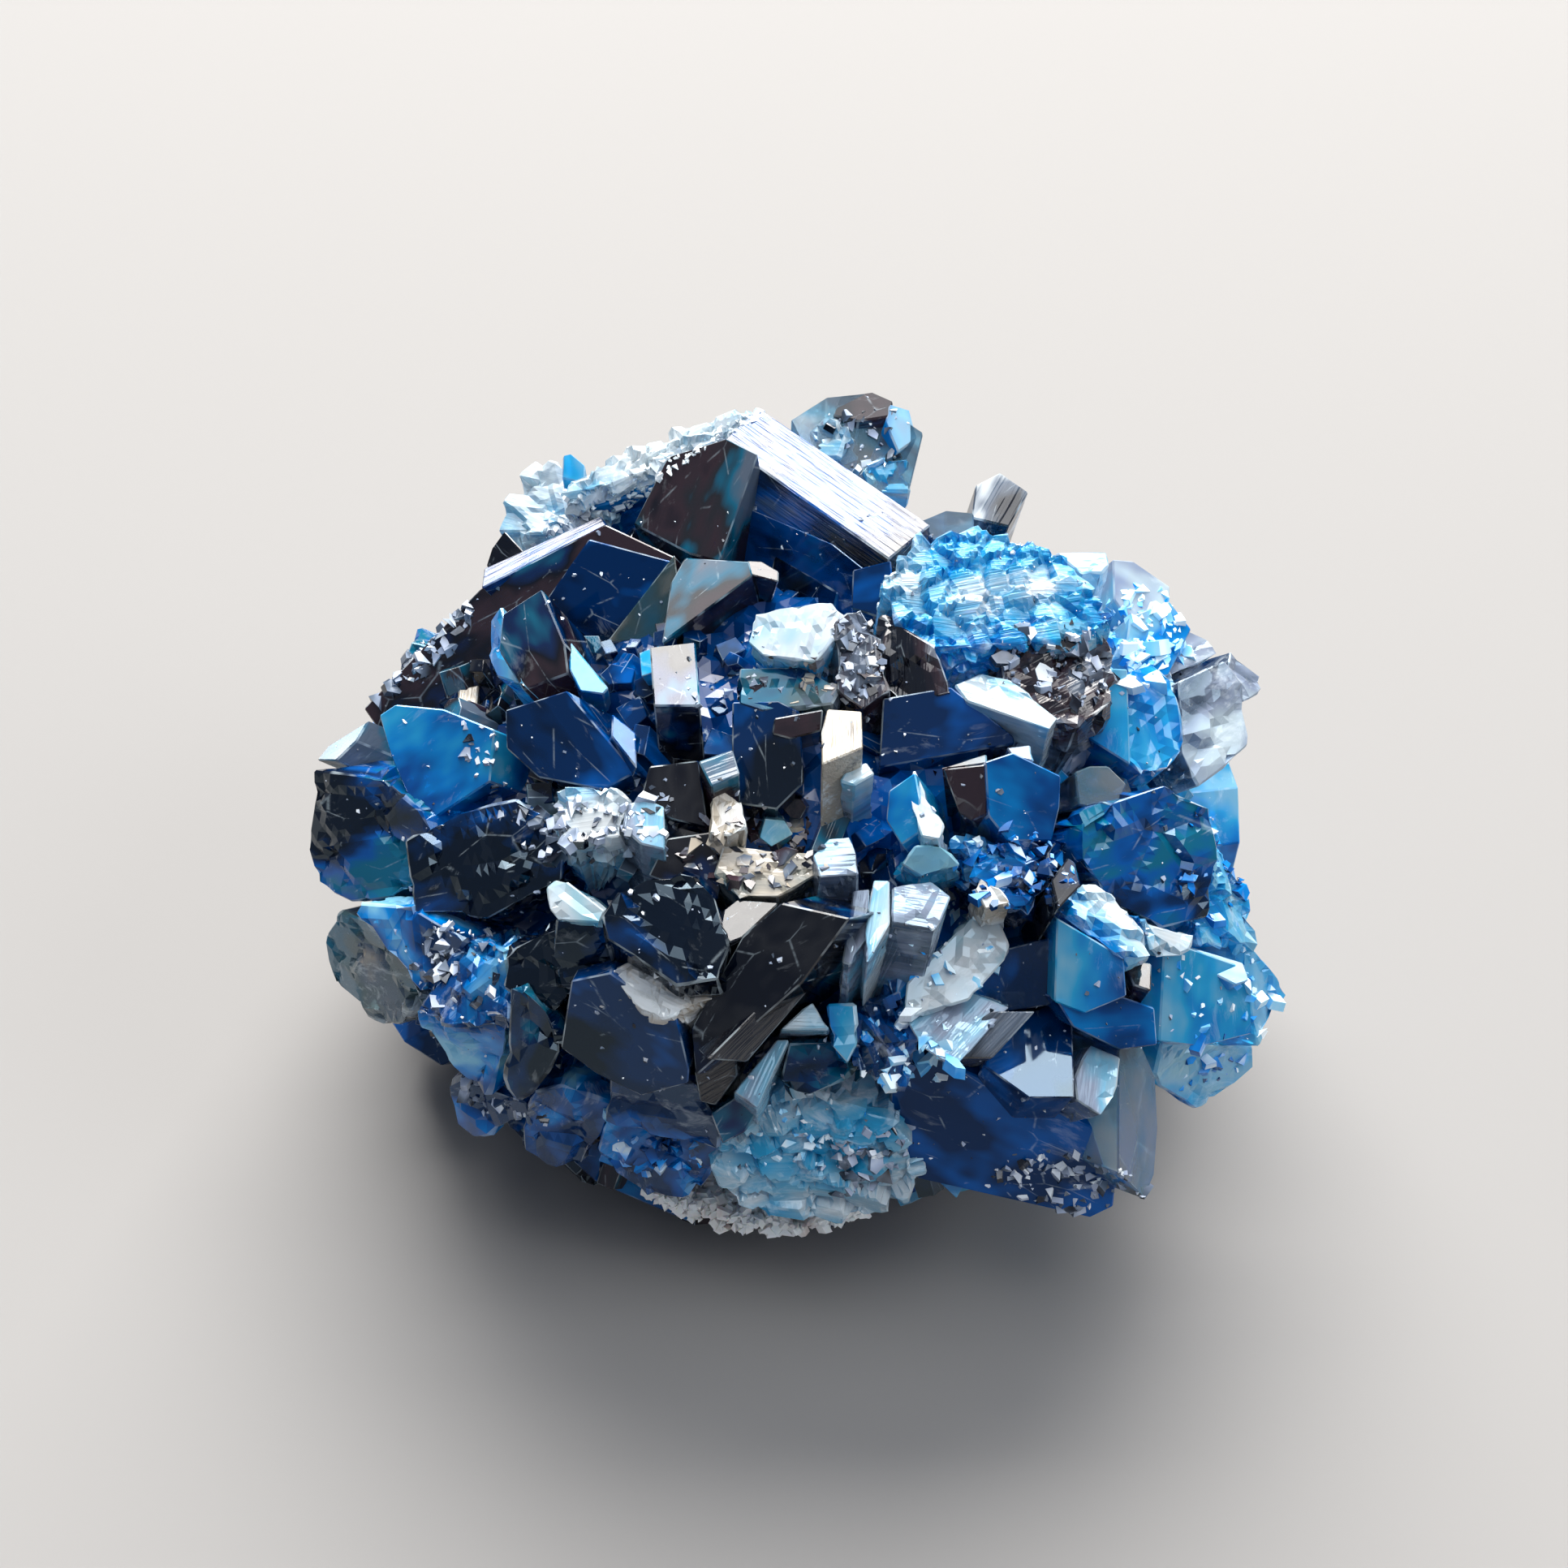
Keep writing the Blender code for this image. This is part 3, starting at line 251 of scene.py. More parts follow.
# Each crystal is its name and finish, the middle of its end face, the way that face looks (turn
# from the front towards the right, then lift above the horizontal, in degrees), the run from the
# end face to its root, the size of its root against its end, and the corners of the end face,
# across and upslope of its middle.
HAND_LAID = (
    # The roof-shaped crystal that crosses the back of the top, with its broken crest.
    "ridge_band navy_lined 1.5,9,46.5 0,86 -1,-5,-17 0.95 -7,4.5 4.5,-8 7.5,-4.5 -4.5,8.5",
    "ridge_face vivid_blue 0.36,5.17,41.65 -47,13 3,6,-8 0.95 -8,1.6 2,3.2 8,2.6 8,0 4,-5 -3,-6.5 -7.5,-4",
    "ridge_left smoky -7,10,44.5 -40,38 2,4,-16 0.95 3.5,-3.5 3,4.5 0,4.5 -4,1.5 -4.5,-4 1,-4",
    "ridge_crest crumb -11,15.5,44 -20,75 0.6,0.4,-3.4 1 -5,-3.5 -5,-5 -2.5,-3.5 4,2.5 6,6.5 2,3.5",
    "ridge_back royal -10.7,15.3,42.4 -20,75 3,5,-14 1 -4.6,-3.2 -4.6,-4.6 -2.3,-3.2 3.7,2.3 5.5,6 1.8,3.2",
    # The long prism on the left shoulder, and the tilted prism that leans in front of it.
    "left_face plum -19,3,37 -15,38 3,8,-10 0.95 9.5,7.5 4,9 -4.5,3 -12,-7 -10.5,-8.5 -2.5,-7 9,2",
    "left_blue deep -19.03,2.89,37.09 -15,38 3,8,-10 0.95 3,7.8 9.4,7.2 8.9,2 4.5,0.5 0.5,3",
    "left_strip navy_lined -18.5,8.5,41 0,84 2,5,-8 1 -4,-4 4.5,2.5 4,3.5 -4,-2",
    "tilt_end plum -18,-3,41.5 -10,42 7,1,-12 1 -0.5,-3 2.5,-1.5 2,0.5 0,4 -2.5,2 -2.5,-0.5",
    "tilt_rim sky -20.5,-1,39.5 -70,30 6,2,-10 1 -3.5,0 -2,-1.5 1,-1.5 4.5,0.5 -3,1.5",
    "tilt_low navy -11.5,-11,40.5 20,80 -2,5,-8 1.2 -0.8,0.4 0,-2.6 0.8,0.2 -0.2,2.2",
    "tilt_side azure -14.5,-4.5,40.5 40,72 0,4,-8 1.1 -1.2,-1 0,-2 0.6,-1.8 0.6,2.8 -0.8,0.8",
    "left_glow mossy -9.9,2.9,40.5 -15,38 0,5,-8 1 -3.4,-3.4 0.4,-2.4 1.2,1.6 0.6,3.6",
    "beige_strip cream_lined -23.7,-0.1,34 0,84 0,2,-6 1 -0.7,-2 0.7,-2 0.7,1.6 -0.7,1.2",
    "behind_tilt navy -15.5,-10.5,39.5 -15,40 4,5,-8 1 -0.5,3.5 -4.5,1.5 -4,-1 -1.5,-2.5 3,-2.5 5,-1",
    # Blocks and plates across the middle of the top.
    "box ink -8,-8.5,43.5 0,87 0.5,0,-14 1 1,3.5 -2,3 -1.5,-2.5 1.5,-2.5",
    "cyan cyan -0.5,-6.5,45.5 0,70 1,3,-8 0.8 1.5,-2 3.5,1.5 2.5,2.5 -1,2 -2.5,1.5 -3,-0.5 -2,-1.5",
    "plate smoky -6.5,1.5,43 -15,62 1,4,-8 0.95 -2.5,0 -2,-4.5 3,1.5 2.5,2.5 -2,2",
    "plate_end smoky -2.5,3,43.5 10,84 -1,4,-7 1 0.8,-1.4 1,-0.4 0,0.8 -1,1 -1,-0.4",
    "striped cream_lined 2.5,-13.5,43 0,85 0,1,-12 1 -1.2,-2.4 1.4,-1 1.4,2.2 -0.8,2.4 -1.2,0.4",
    "striped_foot lavender 3.5,-15,41 5,78 0,2,-8 1.1 1.2,0 0.8,1 -0.4,0.6 -1,-0.4 -0.2,-0.8",
    "valley navy -2,-12.5,40.5 -12,48 0,5,-9 1 1,-3.5 2.5,-1.5 1.5,3 0,3.5 -3,3 -2,-3.5",
    "valley_brow smoky -0.5,-11.5,42 5,40 0,5,-7 1 -1.4,-0.4 -0.2,-0.8 1.8,-0.4 2,1 -1.2,0.6",
    "ledge murky -1,-9,43 0,62 0,3,-9 1 -3,1.5 -3,-1 -1.5,-1.5 3,-1 3.5,0 1.5,1.5",
    "cracks scaly 4,-7.5,44.5 10,55 0,3,-9 1 1.5,1 0.5,3.5 -1.5,2.5 -2,-2 -0.5,-3.5 1.5,-2.5",
    "navy_notch scaly 7,-7,43.5 -25,45 1,5,-8 1 0.5,-2.5 3.5,-1 1.5,1.5 -2.5,2.5 -1,-2",
    "navy_gap navy 5,-0.5,44.5 -20,50 1,4,-8 1 1,-1.8 1.4,0 0.6,2.2 -1.8,1 -1.2,-1.6",
    # The rough fibrous crystal and the scaly one under it.
    "rough fibrous 12.5,-2.5,46 5,66 -1,2,-12 1.05 0,4.5 -4,4 -6.5,2 -7,0.5 -6,-2.5 -4,-4 5.5,-4 8,-2.5 "
    "7,0.5 4.5,3",
    "scaly scaly 17,-6.5,42.5 20,60 -2,2,-10 1.05 -4,0 -3,-3 0,-4 3,-3 4.5,0.5 3.5,2.5 0.5,3.5 -3.5,2.5",
    "band_face lavender 13.3,-9.3,42.2 5,82 0,3,-8 1 2.6,-2.6 3.4,-1.6 0.6,1.8 -1.2,2.4 -3,1.6 -2.4,0.2",
    "dark_under navy 9.5,-10.5,40.5 5,40 0,6,-9 1 4.5,-0.5 0.5,3 -4,2.5 -4.5,-2 4.5,-1",
    "white_top lavender 20.5,6,41.5 0,84 -1,-1,-9 1.1 1.4,1.4 -2.2,1.2 -0.6,-0.8 0.8,-0.8 1.4,0",
    "teal_piece clear 11,10,42 0,60 0,-2,-8 1.1 -2.2,0.4 -1.4,-1.2 1.6,-0.8 1.6,1 -0.4,1.2",
    # Pale and glassy crystals down the right side.
    "sky sky 23.5,-6.5,37.5 25,55 -3,5,-9 0.9 -2.5,-1.5 -1.5,-3 0.5,-3.5 2,-2.5 3,2.5 2,4 0.5,4 -2,0.5",
    "sky_flat azure 20.5,-6,39 -5,50 0,5,-9 1 -2.5,-1.5 2,-4 1.5,2.5 0.5,2.5",
    "grey_block frosted 30,-1.5,33.5 40,45 -6,5,-9 0.95 1.5,-2 3,1.5 2.5,3.5 -2,4 -4.5,-0.5 -4.5,-3 1,-2.5",
    "grey_back frosted 28,3,36 30,70 -5,4,-9 1 2,0.4 0.4,2.2 -2.2,1.2 -2.8,-1.2 2,-1",
    "tip_right frosted 33.5,7,30 60,50 -7,2,-6 1.1 1.6,-1 0.8,2.2 -1.2,1.4 -1.8,-1 0.6,-1.6",
    "shard_a pale 24.5,6.5,38.5 20,60 -5,3,-9 1 -1,3 -2,0 -1.5,-2 1.5,-2.5 2.5,0 0.5,2.5",
    "shard_b pale 25,2,37.5 30,60 -5,3,-9 1 3.5,0 3,2.5 -0.5,2.5 -2,0.5 -2.5,-2 0,-2.5",
    "chip clear 19.5,-12.5,37.5 0,50 -2,5,-8 1 1.2,-1.6 2,0.2 0.8,1.4 -0.4,1.4 -1.4,1 -1.2,-1.2",
    "sparkle lumpy 23,-16,35 25,35 -6,6,-8 1 -0.5,-5 3,-5.5 4.5,-2 5,1.5 2,4 -2,4 -4.5,3.5 -5,1 -3.5,-2.5",
    "right_upper roughazure 28.5,-14.5,30 40,40 -8,4,-5 1 -3.5,-2.5 0.5,-4.5 2,-2 1.5,5 -1,3 -3,0.5",
    "right_azure azure 27,-21,26.5 25,30 -7,6,-4 1 3,-4 3.5,-0.5 3,1 -0.5,3.5 -2.5,4 -4,-2 -1,-3.5",
    "right_lobe sky 32,-17.5,22.5 50,25 -10,3,-3 1.1 0,4.5 -1,3 -2,-3 2.5,-2 2,0",
    "right_low sky 28,-20.5,18 35,8 -8,7,0 1 -4,5 -4.5,2.5 -4,1 -0.5,-3.5 1.5,-4 5,-3 5,-1",
    "right_white pale 28.5,-19.5,27.5 10,80 -3,3,-8 1.1 0.2,-1.4 1.2,-1.2 1.2,0.2 -2,2 -1.4,0",
    "right_mid roughpale 24,-20,31 25,45 -4,5,-6 1 1.8,-0.4 -1.6,2.2 -1.2,-1.2 1,-1",
    "beige_small smoky 22,-23,31 10,80 -1,3,-8 1.1 0.8,0.6 -1,1.2 -0.8,-0.8 0.2,-1.4",
    "vivid azure 18.5,-23.5,32 -10,35 -1,7,-6 1.05 0,-3 2.5,-1.5 2,1 -2.5,3 -2,-2.5",
    "sparkly_tri roughpale 19.5,-21,34 10,70 -1,4,-8 1 -1,2.5 -3,1 -2,0 0.5,-3 2.5,-3 2,0 0,2.5",
    # Small crystals in the middle of the front.
    "cube_left plum 10.5,-16.5,40.5 -30,25 2,6,-9 1 0.8,2.6 -2,1.2 -0.2,-1.2 0.8,-1.4 1.6,-0.6",
    "cube_right royal 14,-16.5,40.5 25,30 -2,6,-9 1 -2,3 -2.5,-0.5 -1.5,-2.5 1.5,-3.5 2.5,-1.5 3,0.5 0,3",
    "cube_top smoky 10.5,-14,41.5 0,84 1,3,-8 1 1.4,-0.4 1.4,0.4 -1.6,-0.8 -0.8,-0.8",
    "cube_top2 lavender 14,-13,41 10,84 0,3,-8 1 1,0.6 -0.6,0.6 -0.4,-0.2 0.8,-0.8",
    "blue_left azure 6.5,-17,40 -35,40 3,5,-9 1.1 -0.2,2.4 -1.4,0.6 -0.8,-1.2 0.8,-2.2 1.6,-1 0.8,1",
    "blue_tri cyan 8,-17.5,40.5 15,80 1,4,-9 1.2 0.5,-1.5 0,3 -1,1 -1,-2 0,-2.5",
    "blue_low sky 8,-20,38.5 0,30 0,5,-7 1.2 2,-0.4 0.8,0.8 -0.8,0.8 -1.6,-0.4 -0.4,-1.2",
    "step_a lavender 8,-22.5,37 0,83 -1,2,-10 1.1 -2.4,-1.4 0.4,-2 1.4,0.6 0.2,1.8 -2.2,1.2",
    "step_b lavender 2.5,-20,39 0,80 0,2,-9 1.1 -1.8,-0.2 -1.4,-1.8 1,-1.6 1,0 0.6,1.4 -0.8,1.2",
    "blade_a lavender 5,-24,37 -10,78 0,3,-9 1.1 0.5,0 0,3 -1,3 -1,-1 -0.5,-3",
    "blade_b lavender 3.5,-23.5,36.5 -20,75 0,3,-9 1.1 0.5,-3 1,-0.5 0,2.5 -1,2 0,-3",
    "granular roughblue 13.5,-19,37 10,50 -1,5,-7 1 -3,2 -2.5,-0.5 0.5,-3.5 2.5,-1.5 3,1",
    "cream cream 12,-21,36.5 0,70 0,3,-7 1.1 -1,0.2 -0.4,-1.2 1.2,-0.8 0.6,0.2 -0.6,1",
    "wedge ink 17,-20,37 10,70 -1,3,-8 1.1 0.6,0.8 0.2,1.2 -1.2,-0.2 -1.2,-2.2 0.6,-0.8",
    "silver_small smoky -5,-14.5,41.5 -10,76 0,2,-9 1 -1.6,0 -0.4,-1.8 1.2,-0.6 0.4,1.2",
    "beige_rough cream -5,-17,39.5 0,74 0,2,-9 1 0.4,-1.6 1.4,-1 1.2,1 0,1.8 -0.8,1.2 -0.8,-1.4",
    "silver_steps lavender -10,-17,38.5 -10,74 0,2,-9 1.1 -0.2,1.8 -1.6,1.4 -1.4,-0.4 0,-1.4 1.6,-1.6 1,1.6",
    "silver_shards roughpale -14,-15.5,38.5 -25,62 1,3,-9 1.1 0,-2.5 3,-1 2.5,1.5 0.5,2 -2,1 -2,-1",
    "dark_mid ink -8,-15,39 0,45 0,5,-7 1 -1.8,2 -2.4,-0.2 -0.4,-1.4 2,-2 1.4,2.4",
    "dark_mid_b ink -7,-18.5,36.5 0,45 0,5,-7 1 2,-0.6 1.2,2 -1.6,1.6 -2.8,-0.8 1.6,-2.4",
    "cream_row cream -2.5,-20,37 0,66 0,4,-8 1 -2.5,2 -3,0 -1.5,-1.5 1,-1.5 3.5,0 3,1.5",
    # The big dark prism that lies across the front, and the boulder beside it.
    "black_top ink -3.5,-22.5,36 0,85 0,2,-8 1 -1.6,-1 -1,-2.2 -0.2,-1.8 2,0.8 2,1 -0.6,1.2 -1.4,0.4",
    "black_face ink -3,-26.5,33.5 -25,30 5,7,-6 1 -3.5,-4 -2.5,-7 3,1.5 5,6.5 0.5,6 -1.5,3",
    "black_band grey_lined 0,-25.5,32 35,28 -2,7,-6 1 -7.5,-1 -5,-2.5 5.5,2 4.5,3",
    "black_end grey_lined -5.5,-27.5,26 -5,20 2,7,-5 1 0,-2.2 1.4,0.2 1.2,2.2 -1.4,0.2 -1,-2",
    "boulder lumpy -8.5,-24,36.5 -5,55 0,4,-9 1.05 1.5,3.5 -1.5,3 -3,2 -4,0.5 -3.5,-1 1,-3.5 3.5,-3 4,-1 "
    "3,2",
    "crescent bone -9,-25.6,32.5 -5,62 0,3,-7 1 -1.5,1.9 -3,1.1 -3,0.4 -1,-1.5 0.5,-1.9 3.5,-0.4",
    "cyan_small cyan -15,-21,35.5 -10,62 1,4,-6 1 2.6,-0.2 -0.2,1.4 -1,1.4 -1.4,0.8 -1,-0.6 -0.2,-1.2 "
    "2.4,-1",
    "purple navy -11,-27,28.5 -12,22 1,8,-4 1 -4,4 -4.5,-1 -2,-2.5 1,-3.5 4,-2 4,-1 3,2.5 -1.5,5",
    "purple_b lumpy -14,-22.5,32.5 -5,30 1,6,-6 1 -1.6,2 -2,-0.6 -1,-2.4 2,-1.4 2.2,-0.2 1.4,1.8",
    "lavender lavender 0.5,-26.5,30.5 0,60 0,4,-6 1.2 -1.8,-0.6 1.2,-0.6 0.2,1.2",
    "silver_long lavender -2.5,-28.5,27.5 -20,62 0,4,-7 1.1 -1.4,-1.6 0.4,-2.2 1,2.6 0.2,2.4",
    "sky_block sky 2.5,-27,30 0,55 0,5,-6 1.1 0.8,1.6 -0.8,1.6 -0.6,-1 0.4,-2 1,-0.8",
    "blue_granular roughblue 5,-26.5,28.5 5,45 0,6,-5 1 2.5,0 1.5,3 -1.5,2 -2,-0.5 -1.5,-2 1.5,-3",
    "green_lump murky 1,-27,26.5 0,40 0,6,-5 1.05 2.4,-0.4 1.8,1.8 -1.8,1.4 -2.4,-1.8 -0.4,-2",
    "purple_block plum -4.5,-28.5,23 -10,45 0,5,-5 1.1 -1.4,0 -0.4,-1.8 1,-0.8 1.6,0.6 0.2,1.4",
    # The navy block at the lower right, with its white end face.
    "big_white navy 15,-26.6,26.8 0,84 -0.5,5,-10 1 2.4,-3 2.8,3 2.4,4.8 -2.6,2 -3.2,-0.6 -0.5,-3",
    "silver lavender 19,-28,25.5 20,80 -2,6,-9 1 -1.5,-0.5 -0.5,-2 1,-1 2.5,1.5 1,3 -1,1",
    "grey_side clear 22.5,-26.5,20.5 45,25 -6,6,-4 1 -3,-2.5 -1.5,-6 0,-5 1.5,-2 2.5,1.5 2,5 0,5.5",
    "navy_front front_navy 14,-27,18 0,14 0,10,-1 1 -5.5,7.5 -8,5.5 -8,0.5 -6,-3 6,-6.5 7.5,-5.5 7.5,-2 "
    "5.5,1.5",
    "brown_stripe grey_lined 12.2,-26.5,29 0,50 -1,5,-8 1 0,1.5 -3,-0.5 -2,-1.5 0,-1.5 2.8,1.5",
    "pitted lavender 9.5,-26,29.5 -15,78 0.5,7,-7 1.1 1,-3 3.5,2 0.5,2.5 -3,0 -1.5,-2",
    "greenish cyan 10,-23,31.5 -10,68 0,6,-7 1.05 -3,-1.5 -3,-4 1,-2 3,1 3,2 2,4 0.5,3.5",
    "blue_shard royal 14,-22.5,29.5 0,35 -1,6,-6 1 2.5,-1.5 2.5,3 -1.5,2 -3,-1 -0.5,-2 2,-1.5",
    "right_fill royal 20,-25,28.5 10,35 -2,6,-5 1 3,-2 3,0.5 1,1.5 -3.5,2 -2.5,0 0.5,-2",
    # Dark and azure crystals down the left side.
    "azure_left azure -25,-7.5,36 -20,42 5,5,-8 1 1,-4.5 4.5,-1 4,2.5 0,3 -3.5,2.5 -4.5,1.5 -3,-1 -1,-3.5",
    "far_left lumpy -30,-10,29.5 -40,30 8,5,-4 1.05 4.5,-1.5 6,3 3.5,4.5 -0.5,5 -6.5,2.5 -5,-3 -3.5,-5 "
    "0,-4.5",
    "far_left_crest smoky -32.5,-2.5,32 -20,80 6,3,-7 1.1 0.8,0.6 0.8,2.6 -1,-0.4 -1.2,-1.8 0.2,-1.4",
    "low_left_lobe pale_moss -30.5,-15,21 -50,15 9,5,-2 1.05 6,3 3,6.5 -3.5,3.5 -5.5,0 -5,-2 -4,-3.5 2.5,-2 "
    "5,0",
    "mid_left lumpy -21,-15,33.5 -15,45 2,6,-7 1.05 -5.5,0 -4,-4.5 1,-4 5.5,-0.5 5,3 1.5,4 -2.5,2.5",
    "left_low_dark lumpy -17,-22.5,30.5 -20,30 2,7,-5 1 1,3.5 -2.5,1 -2,-1.5 1.5,-2.5 2.5,-0.5",
    "left_fill lumpy_blue -25.5,-18.5,29 -30,30 4,6,-5 1 -5.5,0.5 1,-3.5 3.5,1.5 -1,2",
    "sparkly_top roughblue -22,-21.5,28.5 -20,50 3,5,-5 1 0.5,-3 3.5,-1.5 3,0.5 2,2.5 0.5,3 -1,2.5 -3,-2 "
    "-3,-3",
    "sparkly_front lumpy_blue -22.5,-22.5,23.5 -25,5 4,8,-2 1 3.5,4 -4,1 -3.5,-0.5 0,-3.5 1.5,-4 3,0",
    "low_left_b lumpy_blue -21.5,-23,17 -30,10 4,9,-1 1 3.5,1 3,2 -2.5,1 -3.5,0 -2.5,-3 -1,-3",
    "low_mid_face murky -17.5,-25,26.5 -10,15 1,8,-4 1 -1.5,-3 -1,-4.5 1,-2 2,0 1,2.5 -0.5,4 -1.5,4",
    # Crystals of the lower rim, which hangs over the foot.
    "blue_low_left lumpy_blue -16.5,-25,17.5 -10,5 2,9,-1 1 4,3 0.5,4 -1.5,3 -2.5,0 -2.5,-3 -1,-4 1.5,-4 "
    "3,0",
    "dark_low lumpy_blue -9,-27,21.5 -5,15 1,8,-3 1 -3.5,2.5 -4,-1 -1,-2 3.5,-2.5 3.5,0 2,2.5",
    "bottom_mass snow_blue 1,-28,18 0,12 0,9,0 1.05 -7,-1 -5.5,-4 -3,-5.5 3,-5.5 6,-4 7,-2 6,1 5,3 0,5.5 "
    "-1.5,5 -4,4 -6,2",
    "rim_chip azure 10.5,-27.4,13.2 0,20 0,5,1 1 -0.9,0.6 0.9,0.6 0.3,-0.7",
    "bottom_left_fill lumpy_blue -9.5,-26.5,17 -10,5 1,9,0 1 3,-4 4.5,0.5 2.5,4 -0.5,5 -3.5,3 -4.5,-2.5 "
    "-1,-5",
    # Crystals that show over the back.
    "clear_behind clear 5,21,42.5 10,50 -1,-2,-9 0.85 -1.5,-4 2.5,-5.5 4,-1.5 4.5,-0.5 0.5,3 -2.5,3 -5.5,1.5 "
    "-4.5,-1.5",
    "gem_crown smoky 5,22.4,43.9 0,62 -0.5,-1,-4 0.9 -2.4,-0.8 -0.5,-1.3 1.8,-0.9 2.2,0.4 0.6,1.2 -1.8,0.8",
    "gem_side roughpale 2.1,20.1,42.5 -20,48 1,-1,-5 0.9 -1.4,-1.6 1.2,-1.2 1.4,1.2 -0.6,1.5 -1.6,0.4",
    "gem_edge pale 7.8,21.5,42.8 35,45 -2,-1,-5 0.9 -1.2,-1.8 0.8,-1.4 1.2,0.8 -0.2,1.8 -1.2,0.6",
    "gem_low roughazure 6.6,18.7,40.6 20,42 -1,0,-5 0.9 -1.8,-1.2 1.2,-1.8 1.8,0.4 0.2,1.6 -1.6,1",
    "small_block rimmed 14.6,13.9,41.6 10,62 -1.5,0,-7 1 -2.2,-1.4 0.4,-2.4 2.4,0.2 0.6,2 -1.4,1.2",
    "pale_behind roughpale -19.5,19,38 -20,55 4,-1,-9 1.1 -2.5,-0.5 -2.5,-3.5 1.5,-2.5 4.5,0.5 3,2.5 "
    "-1.5,2.5",
    "spike azure -17,19,40.5 -10,50 1,-1,-9 1.3 -0.4,1.2 -1,1 -0.8,-0.8 1,-1 0.8,0.4",
    "green_black ink -22,13.5,37 -30,40 5,-1,-9 1.1 -1.2,-0.2 -1.2,-1.6 0.4,-1.2 1.6,0.4 -0.6,1.4",
)

# Fields of splinters: name, finish, the middle of the field, its half width, half height and tilt
# as the camera sees it, how many splinters, and their least and greatest length.
SPLINTERS = (
    ("shards", "silver", (-16.4, -13.8, 35.8), (5.1, 2.4, -20), 90, (0.5, 1.8)),
    ("left_slope", "silver", (-27.5, 3.8, 35.2), (5.4, 1.5, 42), 90, (0.5, 2)),
    ("crest", "snowy", (-9.5, 14, 44.5), (9, 0.9, 31), 190, (0.4, 1.3)),
    ("crest_low", "snowy", (-18.2, 16.7, 36.7), (3, 1.6, 25), 60, (0.4, 1.5)),
    ("by_ledge", "silver", (-4.7, -5.2, 38.9), (3.6, 1.8, 0), 30, (0.4, 1.4)),
    ("under_cyan", "brown_chips", (0.7, -8.3, 43.4), (4.2, 1.5, 0), 45, (0.4, 1.4)),
    ("beside_cyan", "silver", (3.4, -7.6, 44.5), (2, 3, 0), 60, (0.4, 1.4)),
    ("scales", "silver", (17.2, -5.9, 42.8), (4.3, 2.8, -20), 120, (0.4, 1.8)),
    ("right_upper_chips", "blue_chips", (28.2, -13.3, 31.3), (3.6, 4.8, 0), 50, (0.4, 1.6)),
    ("navy_sparks", "silver", (17.9, -27.8, 14.9), (5.7, 2.2, -8), 110, (0.4, 1.5)),
    ("bottom_scales", "silver", (4.3, -28, 18), (3.4, 2.4, 35), 60, (0.6, 2)),
    ("top_left_sparks", "silver", (-22.8, -20.6, 29), (3.2, 3, 0), 80, (0.4, 1.6)),
    ("grains", "blue_chips", (13.6, -19.2, 36.8), (4.2, 2.7, 0), 90, (0.5, 1.8)),
    ("centre_bits", "brown_chips", (-2.8, -15.2, 34.8), (4.8, 2.7, 0), 90, (0.5, 2)),
    ("silver_bits", "silver", (-10.3, -16.6, 38.6), (2.4, 2.7, 0), 40, (0.5, 1.8)),
    ("right_edge_chips", "pale_chips", (32.3, -17, 22.7), (2.7, 4.8, 0), 30, (0.5, 1.8)),
    ("right_low_chips", "blue_chips", (29.2, -19.7, 17.6), (3.6, 3, 0), 24, (0.5, 1.8)),
    ("green_chips", "pale_chips", (9.6, -21.8, 31.9), (3.3, 3.4, 30), 22, (0.4, 1.6)),
    ("bottom_chips", "pale_chips", (0.7, -27.6, 19.8), (4.8, 2.6, 15), 36, (0.4, 1.6)),
    ("low_left_chips", "blue_chips", (-9.5, -27.5, 17), (3.5, 1.6, 0), 40, (0.6, 2)),
    ("low_left_grey", "silver", (-20.4, -23.5, 17.9), (3.6, 1.6, -20), 40, (0.5, 1.8)),
    ("between_chips", "pale_chips", (6.9, -27.1, 27.7), (3.6, 3, 0), 50, (0.6, 2.2)),
    ("azure_left_chips", "silver", (-21.8, -7.3, 37.4), (1.5, 2.7, 0), 30, (0.5, 1.8)),
    ("right_azure_chips", "pale_chips", (26.7, -21.2, 26.4), (3.6, 3, 0), 16, (0.5, 1.8)),
    ("sky_chips", "pale_chips", (24, -2.7, 39.5), (3, 2.2, 0), 40, (0.8, 2.4)),
    ("shoulder_chips", "pale_chips", (25, 3.5, 38), (3.4, 3.2, -30), 80, (0.6, 2.2)),
    ("gem_sparks", "silver", (5, 20.6, 42.8), (3.4, 3, 0), 40, (0.3, 1.4)),
    ("dust", "silver", (-1, -9, 30), (33, 24, 0), 600, (0.15, 0.6)),
)

# Each splinter: how it leans and turns, its corners, and its thickness as shares of its length.
SPLINTER_SEED = 17
SPLINTER_LEAN = 0.32
SPLINTER_SPIN = (0, 6.28)
SPLINTER_SIDES = (3, 5)
SPLINTER_NARROW = (0.4, 0.9)
SPLINTER_STEP = (-0.25, 0.25)
SPLINTER_RADIUS = (0.75, 1.1)
SPLINTER_TOP = 0.08
SPLINTER_ROOT = 0.35
SPLINTER_SPREAD = 1.15
SPLINTER_LIFT = Vector((0, 0, 0.8))

# Splinters fall on a field from FIELD_HEIGHT over it, and only those that land near it stay.
FIELD_HEIGHT = 20
FIELD_REACH = 12
FIELD_EDGE = 1.2
SMALL_ONES = 3

